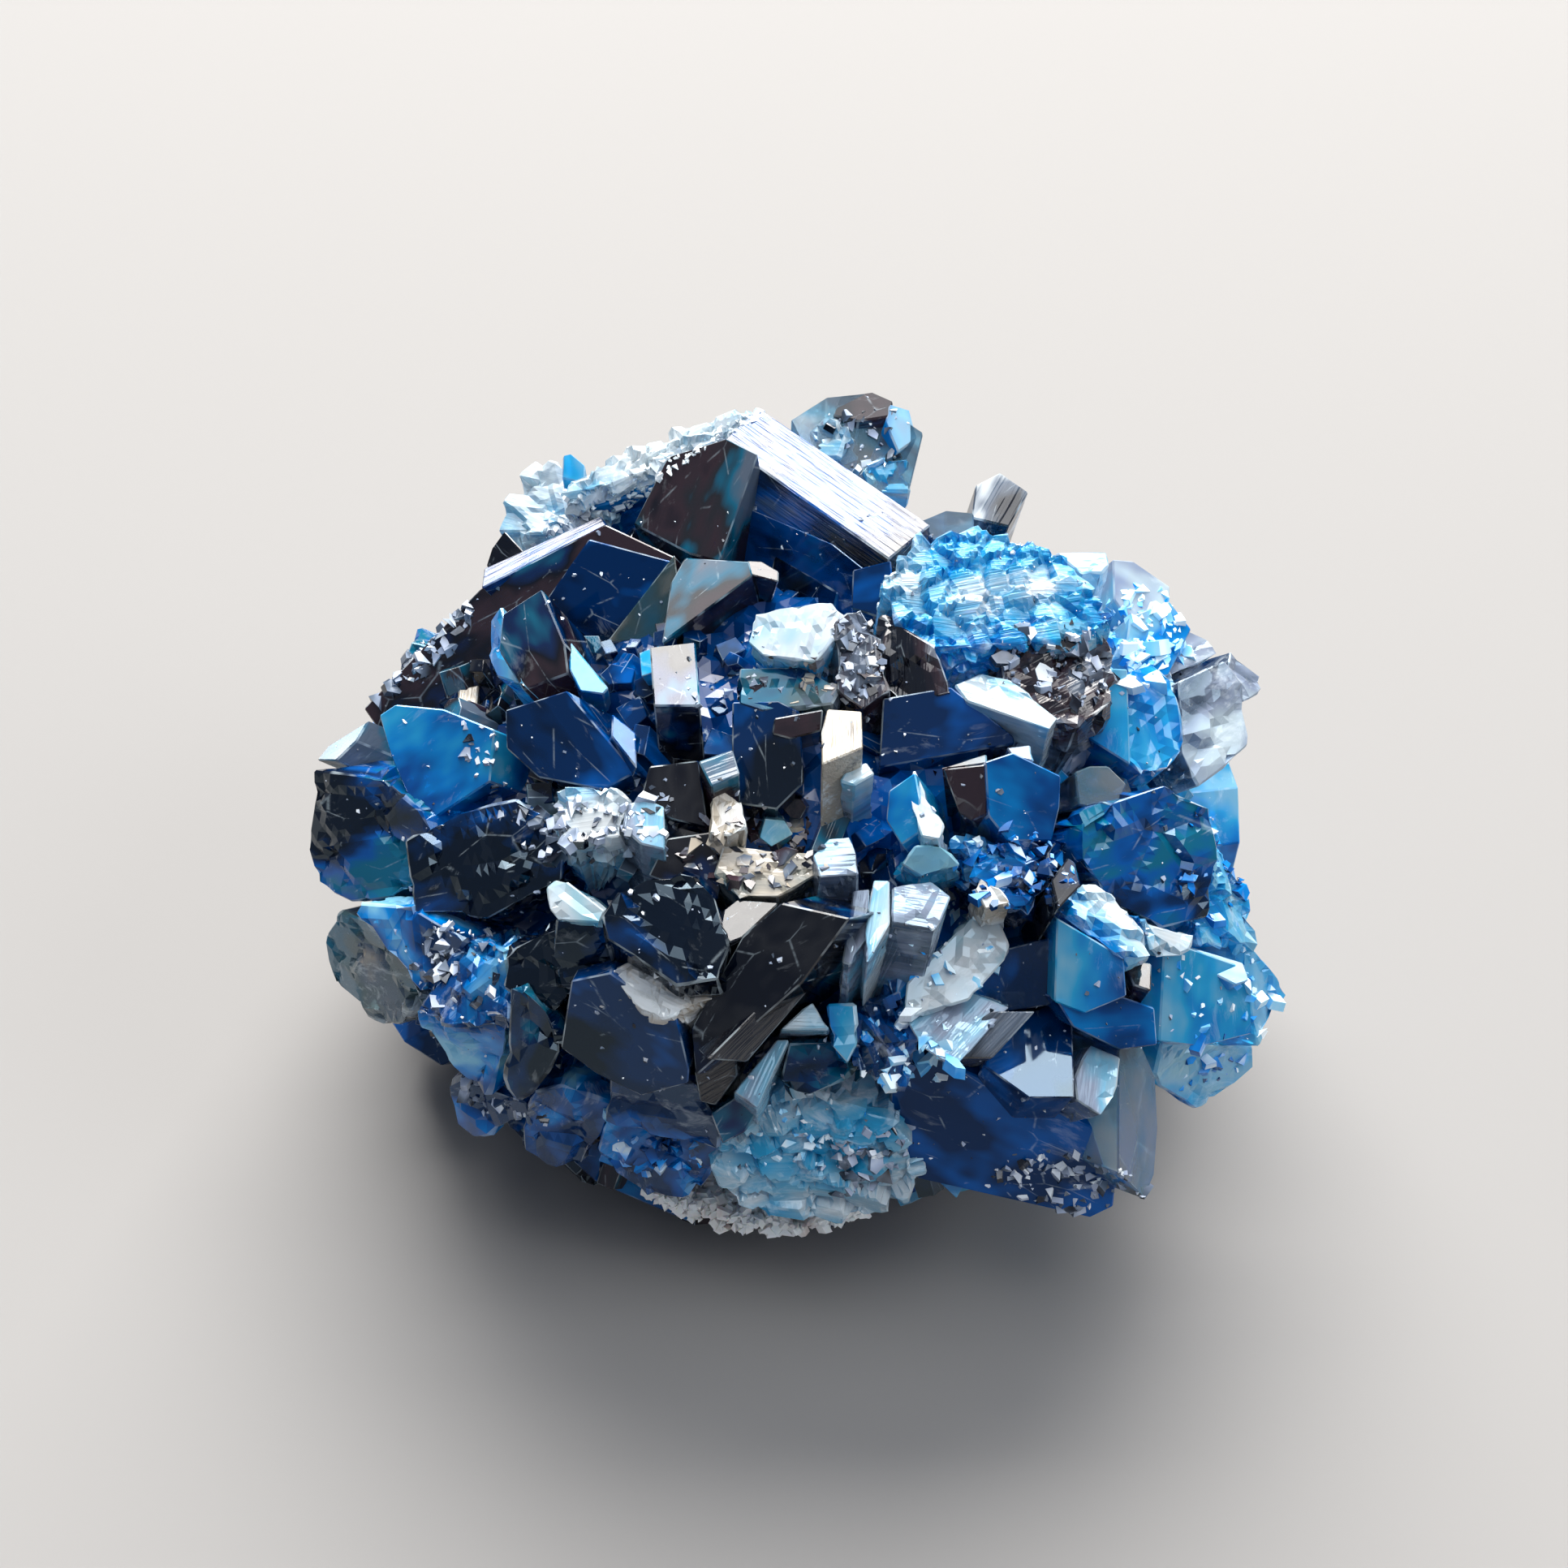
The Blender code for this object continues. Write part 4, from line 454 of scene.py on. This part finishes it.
# Snow-white matrix under the front rim: an arc of small flakes.
CRUST_COUNT = 800
CRUST_ARC = (248, 279)
CRUST_RADII = (27.5, 25.7)
CRUST_HEIGHT = 9.6
CRUST_SAG = 1.6
CRUST_WIDTH = 3.4
CRUST_BUMPS = (-0.5, 1.2)
CRUST_FLAKES = (0.4, 1.4)
CRUST_LIFT = Vector((0, 0, 0.4))
CRUST_SEED = 7

# Broken surfaces: finish -> chip size across, up and along the grain, depth of the breaks, and
# the longest edge of the mesh that carries them.
BROKEN = {
    "fibrous": ((1.5, 0.9, 1.6), 0.65, 0.5),
    "bone": ((1.3, 1.3, 1.8), 0.45, 0.5),
    "snow_blue": ((1.7, 1.7, 2.2), 0.75, 0.6),
    "pale_moss": ((3.2, 3.2, 4.5), 0.5, 0.9),
    "frosted": ((3, 3, 4), 0.3, 0.9),
    "roughblue": ((1.5, 1.5, 2), 0.7, 0.7),
    "roughazure": ((1.9, 1.9, 2.6), 0.8, 0.7),
    "roughpale": ((1.5, 1.5, 2.4), 0.7, 0.7),
    "crumb": ((0.9, 0.9, 1.8), 0.7, 0.5),
    "scaly": ((2.2, 2.2, 3), 0.5, 0.8),
    "cream": ((1.6, 1.6, 2.2), 0.16, 0.7),
    "lavender": ((2.4, 2.4, 4), 0.12, 0.9),
    "murky": ((3.2, 3.2, 4.5), 0.55, 1),
    "cyan": ((2, 2, 3), 0.25, 0.8),
    "lumpy": ((2.8, 2.8, 3.6), 0.4, 0.9),
    "lumpy_blue": ((2.4, 2.4, 3.2), 0.45, 0.9),
    "sky": ((3.2, 3.2, 5), 0.3, 0.9),
}

# How far that mesh reaches, how its chips lean and rise, and the cracks between them.
REFINE_PASSES = 5
REFINE_REACH = 10
CELL_SPREAD = 37
CELL_MIDDLE = Vector((0.5, 0.5, 0.5))
CHIP_LEAN = 2.2
CHIP_RISE = 0.9
CRACK_WIDTH = 0.12
CRACK_DEPTH = 4


# ---------------- shapes


def face_axes(turn, lift):
    """The across, upslope and outward directions of a face."""
    turn, lift = math.radians(turn), math.radians(lift)
    across = Vector((math.cos(turn), math.sin(turn), 0))
    outward = Vector((math.sin(turn) * math.cos(lift), -math.cos(turn) * math.cos(lift), math.sin(lift)))
    return across, outward.cross(across), outward


def in_scene(name, data):
    made = bpy.data.objects.new(name, data)
    bpy.context.scene.collection.objects.link(made)
    return made


def new_shape():
    """A mesh in the making. Its grain is a place in the growth directions, its edge is worn corners."""
    shape = bmesh.new()
    shape.verts.layers.float_vector.new("grain")
    shape.faces.layers.float.new("edge")
    return shape


def hull_of(points, chamfer=0):
    """The convex solid round some points, with its edges worn."""
    fresh = new_shape()
    for point in points:
        fresh.verts.new(point)
    bmesh.ops.convex_hull(fresh, input=fresh.verts)
    inside = [vert for vert in fresh.verts if not vert.link_faces]
    bmesh.ops.delete(fresh, geom=inside, context="VERTS")
    bmesh.ops.dissolve_limit(fresh, angle_limit=FLAT_ANGLE, verts=fresh.verts, edges=fresh.edges)
    bmesh.ops.recalc_face_normals(fresh, faces=fresh.faces)
    if chamfer:
        worn_and_highlit_edge = bmesh.ops.bevel(
            fresh, geom=list(fresh.edges), offset=chamfer, segments=1, affect="EDGES", clamp_overlap=True,
        )
        mark = fresh.faces.layers.float["edge"]
        for face in worn_and_highlit_edge["faces"]:
            face[mark] = 1
    bmesh.ops.triangulate(fresh, faces=fresh.faces)
    return fresh


def set_grain(shape, middle, axes, shift=Vector()):
    """Writes each corner's place along the three growth directions."""
    layer = shape.verts.layers.float_vector["grain"]
    for vert in shape.verts:
        off = vert.co - middle
        vert[layer] = Vector([off.dot(axis) for axis in axes]) + shift


def absorb(shape, other):
    """Adds a second mesh in the making to the first, and frees it."""
    grain = shape.verts.layers.float_vector["grain"]
    edge = shape.faces.layers.float["edge"]
    other_grain = other.verts.layers.float_vector["grain"]
    other_edge = other.faces.layers.float["edge"]
    copies = {}
    for vert in other.verts:
        copies[vert] = shape.verts.new(vert.co)
        copies[vert][grain] = vert[other_grain]
    for face in other.faces:
        shape.faces.new([copies[vert] for vert in face.verts])[edge] = face[other_edge]
    other.free()


def refine(shape, longest, middle):
    """Splits the long edges of the part that shows, round the middle of the end face."""
    for _ in range(REFINE_PASSES):
        long_edges = [
            edge for edge in shape.edges
            if edge.calc_length() > longest and (edge.verts[0].co - middle).length < REFINE_REACH
        ]
        bmesh.ops.subdivide_edges(shape, edges=long_edges, cuts=1)
        bmesh.ops.triangulate(shape, faces=[face for face in shape.faces if len(face.verts) > 3])


def shatter(shape, sizes, depth):
    """Breaks a fine surface into flat chips, each of which leans its own way."""
    shape.normal_update()
    grain = shape.verts.layers.float_vector["grain"]
    moves = []
    for vert in shape.verts:
        at = Vector([place / size for place, size in zip(vert[grain], sizes)])
        gaps, cells = noise.voronoi(at)
        lean = noise.cell_vector(cells[0] * CELL_SPREAD) - CELL_MIDDLE
        crack = max(0, CRACK_WIDTH - (gaps[1] - gaps[0])) * CRACK_DEPTH
        rise = (at - cells[0]).dot(lean) * CHIP_LEAN + lean.z * CHIP_RISE - crack
        moves.append(vert.normal * depth * rise)
    for vert, move in zip(shape.verts, moves):
        vert.co += move


def put(name, shape, finish):
    """Makes a piece of a mesh that is in millimetres."""
    for vert in shape.verts:
        vert.co.z = max(vert.co.z, 0)
    mesh = bpy.data.meshes.new(name)
    bmesh.ops.scale(shape, vec=(MM, MM, MM), verts=shape.verts)
    shape.to_mesh(mesh)
    shape.free()
    mesh.materials.append(FINISHES[finish])
    piece = in_scene(name, mesh)
    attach(piece, "root")
    return piece


def remember(shape):
    """Keeps a mesh's triangles, to seat the small crystals and the splinters on them."""
    shape.verts.index_update()
    start = len(SURFACE["points"])
    SURFACE["points"].extend(vert.co.copy() for vert in shape.verts)
    SURFACE["faces"].extend([start + vert.index for vert in face.verts] for face in shape.faces)


def long_side(outline):
    """The direction of an outline's longest side."""
    sides = [Vector(b) - Vector(a) for a, b in zip(outline, outline[1:] + outline[:1])]
    return max(sides, key=lambda side: side.length).normalized()


def crystal(name, finish, middle, facing, growth, spread, outline):
    """A prism from its end face down to its root, broken where its finish is a broken one."""
    across, upslope, outward = face_axes(*facing)
    middle = Vector(middle)
    end = [middle + across * u + upslope * v for u, v in outline]
    centre = sum(end, Vector()) / len(end)
    root = [centre + Vector(growth) + (point - centre) * spread for point in end]
    shape = hull_of(end + root, EDGE_WEAR)
    side = long_side(outline)
    along = across * side.x + upslope * side.y
    shift = Vector([place * share for place, share in zip(centre, GRAIN_SHIFT)])
    set_grain(shape, centre, (outward.cross(along), outward, along), shift)
    remember(shape)
    if finish in BROKEN:
        sizes, depth, longest = BROKEN[finish]
        refine(shape, longest, centre)
        shatter(shape, sizes, depth)
    put(name, shape, finish)


def hand_laid(row):
    """A crystal from its row of words."""
    name, finish, *words = row.split()
    middle, facing, growth, (spread,), *outline = [
        [float(number) for number in word.split(",")] for word in words
    ]
    crystal(name, finish, middle, facing, growth, spread, outline)


def on_groundmass(height, azimuth, reach):
    """A point over the groundmass's surface, at a height and an azimuth."""
    radii = Vector(GROUND_RADII) * reach
    rise = max(-POLE, min(POLE, (height - GROUND_MIDDLE[2]) / radii.z))
    level = math.sqrt(1 - rise * rise)
    angle = math.radians(azimuth)
    offset = Vector((math.cos(angle) * level * radii.x, math.sin(angle) * level * radii.y, rise * radii.z))
    return Vector(GROUND_MIDDLE) + offset


def outward_facing(point):
    """Turn and lift of the groundmass's own normal at a point."""
    offset = point - Vector(GROUND_MIDDLE)
    normal = Vector([o / (r * r) for o, r in zip(offset, GROUND_RADII)]).normalized()
    return math.degrees(math.atan2(normal.x, -normal.y)), math.degrees(math.asin(normal.z))


def in_zone(x, zones):
    """What a table of zones holds for a place across the cluster."""
    return next(choices for end, choices in zones if x < end)


def uneven_outline(chance, width):
    """Four to six corners round an oval, no two crystals alike."""
    sides = chance.randint(*SIDES)
    start = chance.uniform(0, 360)
    outline = []
    for side in range(sides):
        angle = math.radians(start + 360 * side / sides + chance.uniform(*CORNER_TURN))
        radius = width / 2 * chance.uniform(*CORNER_RADIUS)
        outline.append((math.cos(angle) * radius, math.sin(angle) * radius * OVAL))
    return outline


def ring_of_crystals(ring, reach, chance):
    """Large crystals in a row round the groundmass, each rooted towards its middle."""
    height, count, first, last = ring
    for i in range(count):
        azimuth = first + (last - first) * (i + chance.uniform(*RING_STEP)) / count
        middle = on_groundmass(height + chance.uniform(*RING_RISE), azimuth, chance.uniform(*reach))
        turn, lift = outward_facing(middle)
        facing = (turn + chance.uniform(*RING_TURN), lift + chance.uniform(*RING_LIFT))
        outline = uneven_outline(chance, chance.uniform(*BACK_WIDTH))
        growth = (Vector(GROUND_MIDDLE) - middle).normalized() * BACK_ROOT
        finishes = in_zone(middle.x, RING_FINISHES)
        finish = finishes[(i + height) % len(finishes)]
        crystal(f"ring_{height}_{i}", finish, middle, facing, growth, chance.uniform(*TAPER), outline)


def scattered(chance, spread):
    return Vector([chance.gauss(0, spread) for _ in range(3)])


def seated(points, middle, turned, wear=0):
    """The solid round some points of a turned frame that stands at a place, with grain along it."""
    shape = hull_of([turned @ point + middle for point in points], wear)
    set_grain(shape, middle, turned.transposed(), middle * GRAIN_SCATTER)
    return shape


def small_prism(chance, middle, outward, width):
    """A stubby crystal that stands on the surface at a place."""
    turned = (outward + scattered(chance, SMALL_LEAN)).to_track_quat("Z", "Y").to_matrix()
    length = width * chance.uniform(*SMALL_LENGTH)
    outline = uneven_outline(chance, width)
    points = [Vector((u, v, length)) for u, v in outline]
    points += [Vector((u * SMALL_ROOT, v * SMALL_ROOT, -width)) for u, v in outline]
    return seated(points, middle, turned, SMALL_WEAR)


def small_crystals(surface):
    """Small crystals in every gap between the big ones, joined by finish."""
    chance = random.Random(SMALL_SEED)
    shapes = {}
    for _ in range(SMALL_COUNT):
        rise = math.asin(chance.uniform(*SMALL_RISE))
        azimuth = chance.uniform(0, 2 * math.pi)
        way = Vector((math.cos(azimuth) * math.cos(rise), math.sin(azimuth) * math.cos(rise), math.sin(rise)))
        start = Vector([m + w * r * RAY_START for m, w, r in zip(GROUND_MIDDLE, way, GROUND_RADII)])
        width = chance.uniform(*SMALL_WIDTH)
        hit = surface.ray_cast(start, Vector(GROUND_MIDDLE) - start)[0]
        if not hit:
            continue
        reach = Vector([(h - m) / r for h, m, r in zip(hit, GROUND_MIDDLE, GROUND_RADII)]).length
        if reach > GAP_REACH or hit.z < SMALL_LOWEST:
            continue
        finish = chance.choice(in_zone(hit.x, SMALL_FINISHES))
        if finish not in shapes:
            shapes[finish] = new_shape()
        absorb(shapes[finish], small_prism(chance, hit, way, width))
    for finish, shape in shapes.items():
        put(f"small_crystals_{finish}", shape, finish)


def splinter(chance, middle, outward, length):
    """A flat chip with three to five corners that leans out of the surface."""
    lean = (outward + scattered(chance, SPLINTER_LEAN)).normalized()
    turned = lean.to_track_quat("Z", "Y").to_matrix()
    turned = turned @ Matrix.Rotation(chance.uniform(*SPLINTER_SPIN), 3, "Z")
    sides = chance.randint(*SPLINTER_SIDES)
    narrow = chance.uniform(*SPLINTER_NARROW)
    points = []
    for side in range(sides):
        angle = 2 * math.pi * (side + chance.uniform(*SPLINTER_STEP)) / sides
        radius = length / 2 * chance.uniform(*SPLINTER_RADIUS)
        top = Vector((math.cos(angle) * radius, math.sin(angle) * radius * narrow, length * SPLINTER_TOP))
        root = Vector((top.x * SPLINTER_SPREAD, top.y * SPLINTER_SPREAD, -length * SPLINTER_ROOT))
        points += [top, root]
    return seated(points, middle, turned)


def splinter_field(surface, chance, name, finish, middle, extent, count, sizes):
    """Splinters seated on the surface over an oval, as the camera sees it."""
    across, upslope, outward = face_axes(0, CAMERA_ELEVATION)
    half_width, half_height, tilt = extent
    tilt = math.radians(tilt)
    shape = new_shape()
    for _ in range(count):
        angle = chance.uniform(0, 2 * math.pi)
        share = math.sqrt(chance.random())
        u, v = math.cos(angle) * share * half_width, math.sin(angle) * share * half_height
        u, v = u * math.cos(tilt) - v * math.sin(tilt), u * math.sin(tilt) + v * math.cos(tilt)
        start = Vector(middle) + across * u + upslope * v + outward * FIELD_HEIGHT
        hit, normal = surface.ray_cast(start, -outward)[:2]
        length = sizes[0] + (sizes[1] - sizes[0]) * chance.random() ** SMALL_ONES
        if hit and (hit - Vector(middle)).length < max(FIELD_REACH, half_width * FIELD_EDGE):
            absorb(shape, splinter(chance, hit, (normal + SPLINTER_LIFT).normalized(), length))
    put(f"splinters_{name}", shape, finish)


def crust():
    """The white matrix: flakes and knobs along an arc under the rim."""
    chance = random.Random(CRUST_SEED)
    shape = new_shape()
    for _ in range(CRUST_COUNT):
        share = chance.random()
        angle = math.radians(CRUST_ARC[0] + (CRUST_ARC[1] - CRUST_ARC[0]) * share)
        inward = CRUST_WIDTH * (chance.random() - 0.5)
        level = CRUST_HEIGHT - CRUST_SAG * math.sin(math.pi * share) + chance.uniform(*CRUST_BUMPS)
        out = Vector((math.cos(angle), math.sin(angle), 0))
        middle = Vector((out.x * (CRUST_RADII[0] - inward), out.y * (CRUST_RADII[1] - inward), level))
        length = chance.uniform(*CRUST_FLAKES)
        absorb(shape, splinter(chance, middle, (out + CRUST_LIFT).normalized(), length))
    return put("white_crust", shape, "matrix")


def groundmass():
    """The lumpy oval mass, broken into chips and cut off flat just above the ground."""
    shape = new_shape()
    bmesh.ops.create_icosphere(shape, subdivisions=6, radius=1)
    for vert in shape.verts:
        at = vert.co.copy()
        lump = GROUND_LEVEL + GROUND_LUMPS * noise.noise(at * LUMP_SCALE)
        vert.co = Vector([m + c * r * lump for m, c, r in zip(GROUND_MIDDLE, at, GROUND_RADII)])
    set_grain(shape, Vector(), Matrix.Identity(3))
    shatter(shape, GROUND_CHIPS, GROUND_DEPTH)
    geom = list(shape.verts) + list(shape.edges) + list(shape.faces)
    bmesh.ops.bisect_plane(
        shape, geom=geom, plane_co=(0, 0, GROUND_CUT), plane_no=(0, 0, -1), clear_outer=True,
    )
    bmesh.ops.holes_fill(shape, edges=[edge for edge in shape.edges if edge.is_boundary])
    remember(shape)
    return put("groundmass", shape, "ground")


# ---------------- finishes


def nodes_of(name):
    """A new material, its node tree and its main shader."""
    made = bpy.data.materials.new(name)
    made.use_nodes = True
    tree = made.node_tree
    return made, tree, tree.nodes["Principled BSDF"]


def fed(tree, node, inputs, **options):
    """A node with its options set, and its inputs linked to sockets or set to values."""
    for key, value in options.items():
        setattr(node, key, value)
    for key, value in inputs.items():
        if isinstance(value, bpy.types.NodeSocket):
            tree.links.new(value, node.inputs[key])
        else:
            node.inputs[key].default_value = value
    return node


def out_of(tree, kind, inputs=None, output=0, **options):
    """An output of a new shader node of a kind."""
    return fed(tree, tree.nodes.new(f"ShaderNode{kind}"), inputs or {}, **options).outputs[output]


def added(tree, value, other, share):
    """One value plus a share of another."""
    return out_of(tree, "Math", {0: other, 1: share, 2: value}, operation="MULTIPLY_ADD")


def times(tree, value, other):
    return out_of(tree, "Math", {0: value, 1: other}, operation="MULTIPLY")


def ranged(tree, value, low, high, to_low=0, to_high=1):
    """A value spread from one range over another, and held inside it."""
    ends = {"From Min": low, "From Max": high, "To Min": to_low, "To Max": to_high}
    return out_of(tree, "MapRange", {"Value": value, **ends})


def tinted(tree, factor, colour, other):
    """A colour that a second one covers by a factor."""
    inputs = {"Factor": factor, "A": colour, "B": (*other, 1)}
    return out_of(tree, "Mix", inputs, "Result", data_type="RGBA")


def stretched(tree, vector, scales):
    return out_of(tree, "VectorMath", {0: vector, 1: scales}, operation="MULTIPLY")


def clouds(tree, vector, scale, detail=4, roughness=0.55, distortion=0):
    inputs = {"Scale": scale, "Detail": detail, "Roughness": roughness, "Distortion": distortion}
    return out_of(tree, "TexNoise", {"Vector": vector, **inputs})


def ramped(tree, factor, steps):
    """Colours along a factor, by steps of (position, colour) in rising order."""
    ramp = tree.nodes.new("ShaderNodeValToRGB")
    elements = ramp.color_ramp.elements
    for i, (position, colour) in enumerate(steps):
        step = elements[i] if i < 2 else elements.new(position)
        step.position = position
        step.color = (*colour, 1)
    return fed(tree, ramp, {0: factor}).outputs[0]


def clear_finish(name, tones, depth=None, clarity=0.5, gloss=0.04, relief=0, spacing=0.5, frost=0,
                 rim=0.35, light=0, sheen=BLUE_SHEEN, level=0.5):
    """Clear crystal: plain transmission, index and absorption, with growth lines on its faces.

    Tones are the colours of its inside, which drift over each crystal, and light shifts them.
    Painted shading also makes facets that face right, back and up paler, and those facing away darker.
    Depth is the colour and the density (per metre) of its absorption. Relief and spacing are those
    of its growth lines. Frost is how much of the surface is whitened by fine cracks, and rim is
    how pale its edges are drawn, partly from wear and partly as a painted highlight.
    """
    made, tree, shader = nodes_of(name)
    grain = out_of(tree, "Attribute", output="Vector", attribute_name="grain")
    fine = stretched(tree, grain, (1 / spacing, 1 / spacing, LINE_STRETCH / spacing))
    lines = clouds(tree, fine, 1, detail=2, roughness=0.7)
    if relief:
        bump = {"Height": lines, "Strength": relief, "Distance": LINE_HEIGHT}
        fed(tree, shader, {"Normal": out_of(tree, "Bump", bump)})

    # Painted shading by facing: facets that face right, back and up take paler tones, as if lit from there.
    normal = out_of(tree, "NewGeometry", output="True Normal")
    painted_facet_shading = out_of(tree, "VectorMath", {0: normal, 1: PAINTED_LIGHT_SIDE}, "Value", operation="DOT_PRODUCT")
    drift = clouds(tree, stretched(tree, grain, DRIFT_STRETCH), DRIFT_SCALE, detail=3, roughness=0.6)
    drift = added(tree, drift, painted_facet_shading, PAINTED_FACET_SHADING_SHARE)
    drift = added(tree, drift, lines, LINE_SHARE * relief - LINE_LOSS)
    first = TONE_MIDDLE + LINE_SHARE / 2 * relief - light - TONE_REACH
    gap = 2 * TONE_REACH / (len(tones) - 1)
    colour = ramped(tree, drift, [(first + gap * i, tone) for i, tone in enumerate(tones)])

    veil = clouds(tree, stretched(tree, grain, VEIL_STRETCH), VEIL_SCALE, 5, roughness=0.7, distortion=0.6)
    low, high = (end - share * frost for end, share in zip(VEIL_ENDS, VEIL_FROST))
    broken = ranged(tree, veil, low, high, to_high=min(1, VEIL_LEAST + frost))
    colour = tinted(tree, broken, colour, WHITE)
    if not frost:
        cracks = {"Vector": stretched(tree, grain, CRACK_STRETCH), "Scale": CRACK_SCALE}
        apart = out_of(tree, "TexVoronoi", cracks, "Distance", feature="DISTANCE_TO_EDGE")
        hairline = times(tree, ranged(tree, apart, 0, *HAIRLINE, 0), ranged(tree, veil, *HAIRLINE_VEIL))
        colour = tinted(tree, hairline, colour, ICE)
    # Edges: rougher from wear, and paler partly from wear and partly as a painted highlight.
    edge = out_of(tree, "Attribute", output="Fac", attribute_name="edge")
    worn_and_highlit_edge = times(tree, edge, ranged(tree, clouds(tree, grain, WEAR_AND_HIGHLIGHT_SCALE, detail=1), *WEAR_AND_HIGHLIGHT_ENDS))
    colour = tinted(tree, ranged(tree, worn_and_highlit_edge, 0, 1, to_high=rim), colour, ICE)

    rough = ranged(tree, veil, *ROUGH_ENDS, gloss, gloss * 2 + FROST_ROUGH * frost)
    fed(tree, shader, {
        "Base Color": colour,
        "Roughness": added(tree, rough, worn_and_highlit_edge, WEAR_ROUGH),
        "IOR": EUCLASE_INDEX,
        "Specular Tint": (*sheen, 1),
        "Specular IOR Level": level,
        "Transmission Weight": clarity,
    })
    if frost:
        veiled = ranged(tree, broken, 0, 1, clarity, clarity * VEIL_CLARITY)
        fed(tree, shader, {"Transmission Weight": veiled})
    if depth:
        volume = {"Color": (*depth[:3], 1), "Density": depth[3]}
        inside = out_of(tree, "VolumeAbsorption", volume)
        fed(tree, tree.nodes["Material Output"], {"Volume": inside})
    return made


def ground_finish():
    """The granular mass under the crystals: navy on the left, azure on the right, partly its own colour and
    partly painted light from the right.
    """
    made, tree, shader = nodes_of("ground")
    place = out_of(tree, "TexCoord", output="Object")
    # Painted light: the tone rises from left to right, partly the mass's own colour and partly as if lit from
    # the right.
    across = out_of(tree, "SeparateXYZ", {0: place})
    tone_and_painted_light = added(tree, ranged(tree, across, *GROUND_TONE_AND_LIGHT_ENDS), clouds(tree, place, scale=90), 0.8)
    colour = ramped(tree, ranged(tree, tone_and_painted_light, low=0.2, high=1.6), GROUND_TONES_AND_LIGHT)
    speck = ranged(tree, clouds(tree, place, scale=700, detail=6, roughness=0.7), 0.6, 0.72, to_high=0.5)
    fed(tree, shader, {
        "Base Color": tinted(tree, speck, colour, ICE),
        "Roughness": ranged(tree, speck, 0, 0.5, to_low=0.12, to_high=0.5),
        "IOR": EUCLASE_INDEX,
    })
    return made


def matrix_finish():
    """Snow-white, slightly waxy matrix with rusty stains in patches."""
    made, tree, shader = nodes_of("matrix")
    place = out_of(tree, "TexCoord", output="Object")
    fed(tree, shader, {
        "Base Color": ramped(tree, clouds(tree, place, scale=260, detail=5, roughness=0.6), MATRIX_TONES),
        "Roughness": ranged(tree, clouds(tree, place, scale=900), 0.3, 0.7, to_low=0.35, to_high=0.7),
        "Subsurface Weight": 0.2,
        "Subsurface Scale": MM,
    })
    return made


def floor_finish():
    """A plain floor, paler far away from the cluster."""
    made, tree, shader = nodes_of("floor")
    place = out_of(tree, "TexCoord", output="Object")
    away = out_of(tree, "VectorMath", {0: place}, "Value", operation="LENGTH")
    far = ranged(tree, away, *FLOOR_FADE)
    fed(tree, shader, {"Base Color": tinted(tree, far, (*FLOOR_NEAR, 1), FLOOR_FAR), "Roughness": 0.9})
    return made


def make_finishes():
    finishes = {name: clear_finish(name, **look) for name, look in CLEAR.items()}
    finishes["ground"] = ground_finish()
    finishes["matrix"] = matrix_finish()
    return finishes


# ---------------- stage


def camera():
    data = bpy.data.cameras.new("camera")
    data.lens = CAMERA_LENS
    data.sensor_width = SENSOR
    data.clip_start = CLIP_START * MM
    made = in_scene("camera", data)
    back = face_axes(0, CAMERA_ELEVATION)[2]
    made.location = (Vector(CAMERA_TARGET) + back * CAMERA_DISTANCE) * MM
    made.rotation_euler = (-back).to_track_quat("-Z", "Y").to_euler()
    bpy.context.scene.camera = made


def softbox(name, azimuth, elevation, distance, size, radiance, colour=(1, 1, 1)):
    """A rectangular area light aimed at the cluster. Azimuth 0 is in front of it and 180 behind."""
    data = bpy.data.lights.new(name, "AREA")
    data.shape = "RECTANGLE"
    data.size, data.size_y = size
    data.energy = radiance * math.pi * size[0] * size[1]
    data.color = colour
    made = in_scene(name, data)
    towards = face_axes(azimuth, elevation)[2]
    made.location = Vector(LIGHTS_TARGET) + towards * distance
    made.rotation_euler = towards.to_track_quat("Z", "Y").to_euler()


def stage():
    """The floor, the soft sky and the four lights."""
    bpy.ops.mesh.primitive_plane_add(size=FLOOR_SIZE)
    floor = bpy.context.object
    floor.name = "floor"
    floor.data.materials.append(floor_finish())

    scene = bpy.context.scene
    scene.world = bpy.data.worlds.new("studio")
    scene.world.use_nodes = True
    sky = scene.world.node_tree
    fed(sky, sky.nodes["Background"], {"Color": (*DAYLIGHT, 1), "Strength": SKY_STRENGTH})
    for light in LIGHTS:
        softbox(*light)
    scene.view_settings.view_transform = "Standard"
    for kind, bounces in BOUNCES.items():
        setattr(scene.cycles, kind, bounces)


# ---------------- build

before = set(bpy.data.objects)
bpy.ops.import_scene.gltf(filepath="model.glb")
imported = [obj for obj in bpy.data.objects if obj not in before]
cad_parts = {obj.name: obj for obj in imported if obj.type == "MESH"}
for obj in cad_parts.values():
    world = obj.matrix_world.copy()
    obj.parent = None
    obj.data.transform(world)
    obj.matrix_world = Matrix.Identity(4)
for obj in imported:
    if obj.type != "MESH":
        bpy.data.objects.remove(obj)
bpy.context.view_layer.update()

FINISHES = make_finishes()
SURFACE = {"points": [], "faces": []}
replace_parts(groundmass(), "crystal_cluster")
for row in HAND_LAID:
    hand_laid(row)
chance = random.Random(BACK_SEED)
for ring in BACK_RINGS:
    ring_of_crystals(ring, BACK_REACH, chance)
ring_of_crystals(FOOT_RING, FOOT_REACH, chance)
surface = BVHTree.FromPolygons(SURFACE["points"], SURFACE["faces"])
small_crystals(surface)
chance = random.Random(SPLINTER_SEED)
for row in SPLINTERS:
    splinter_field(surface, chance, *row)
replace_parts(crust(), "white_matrix")
camera()
stage()
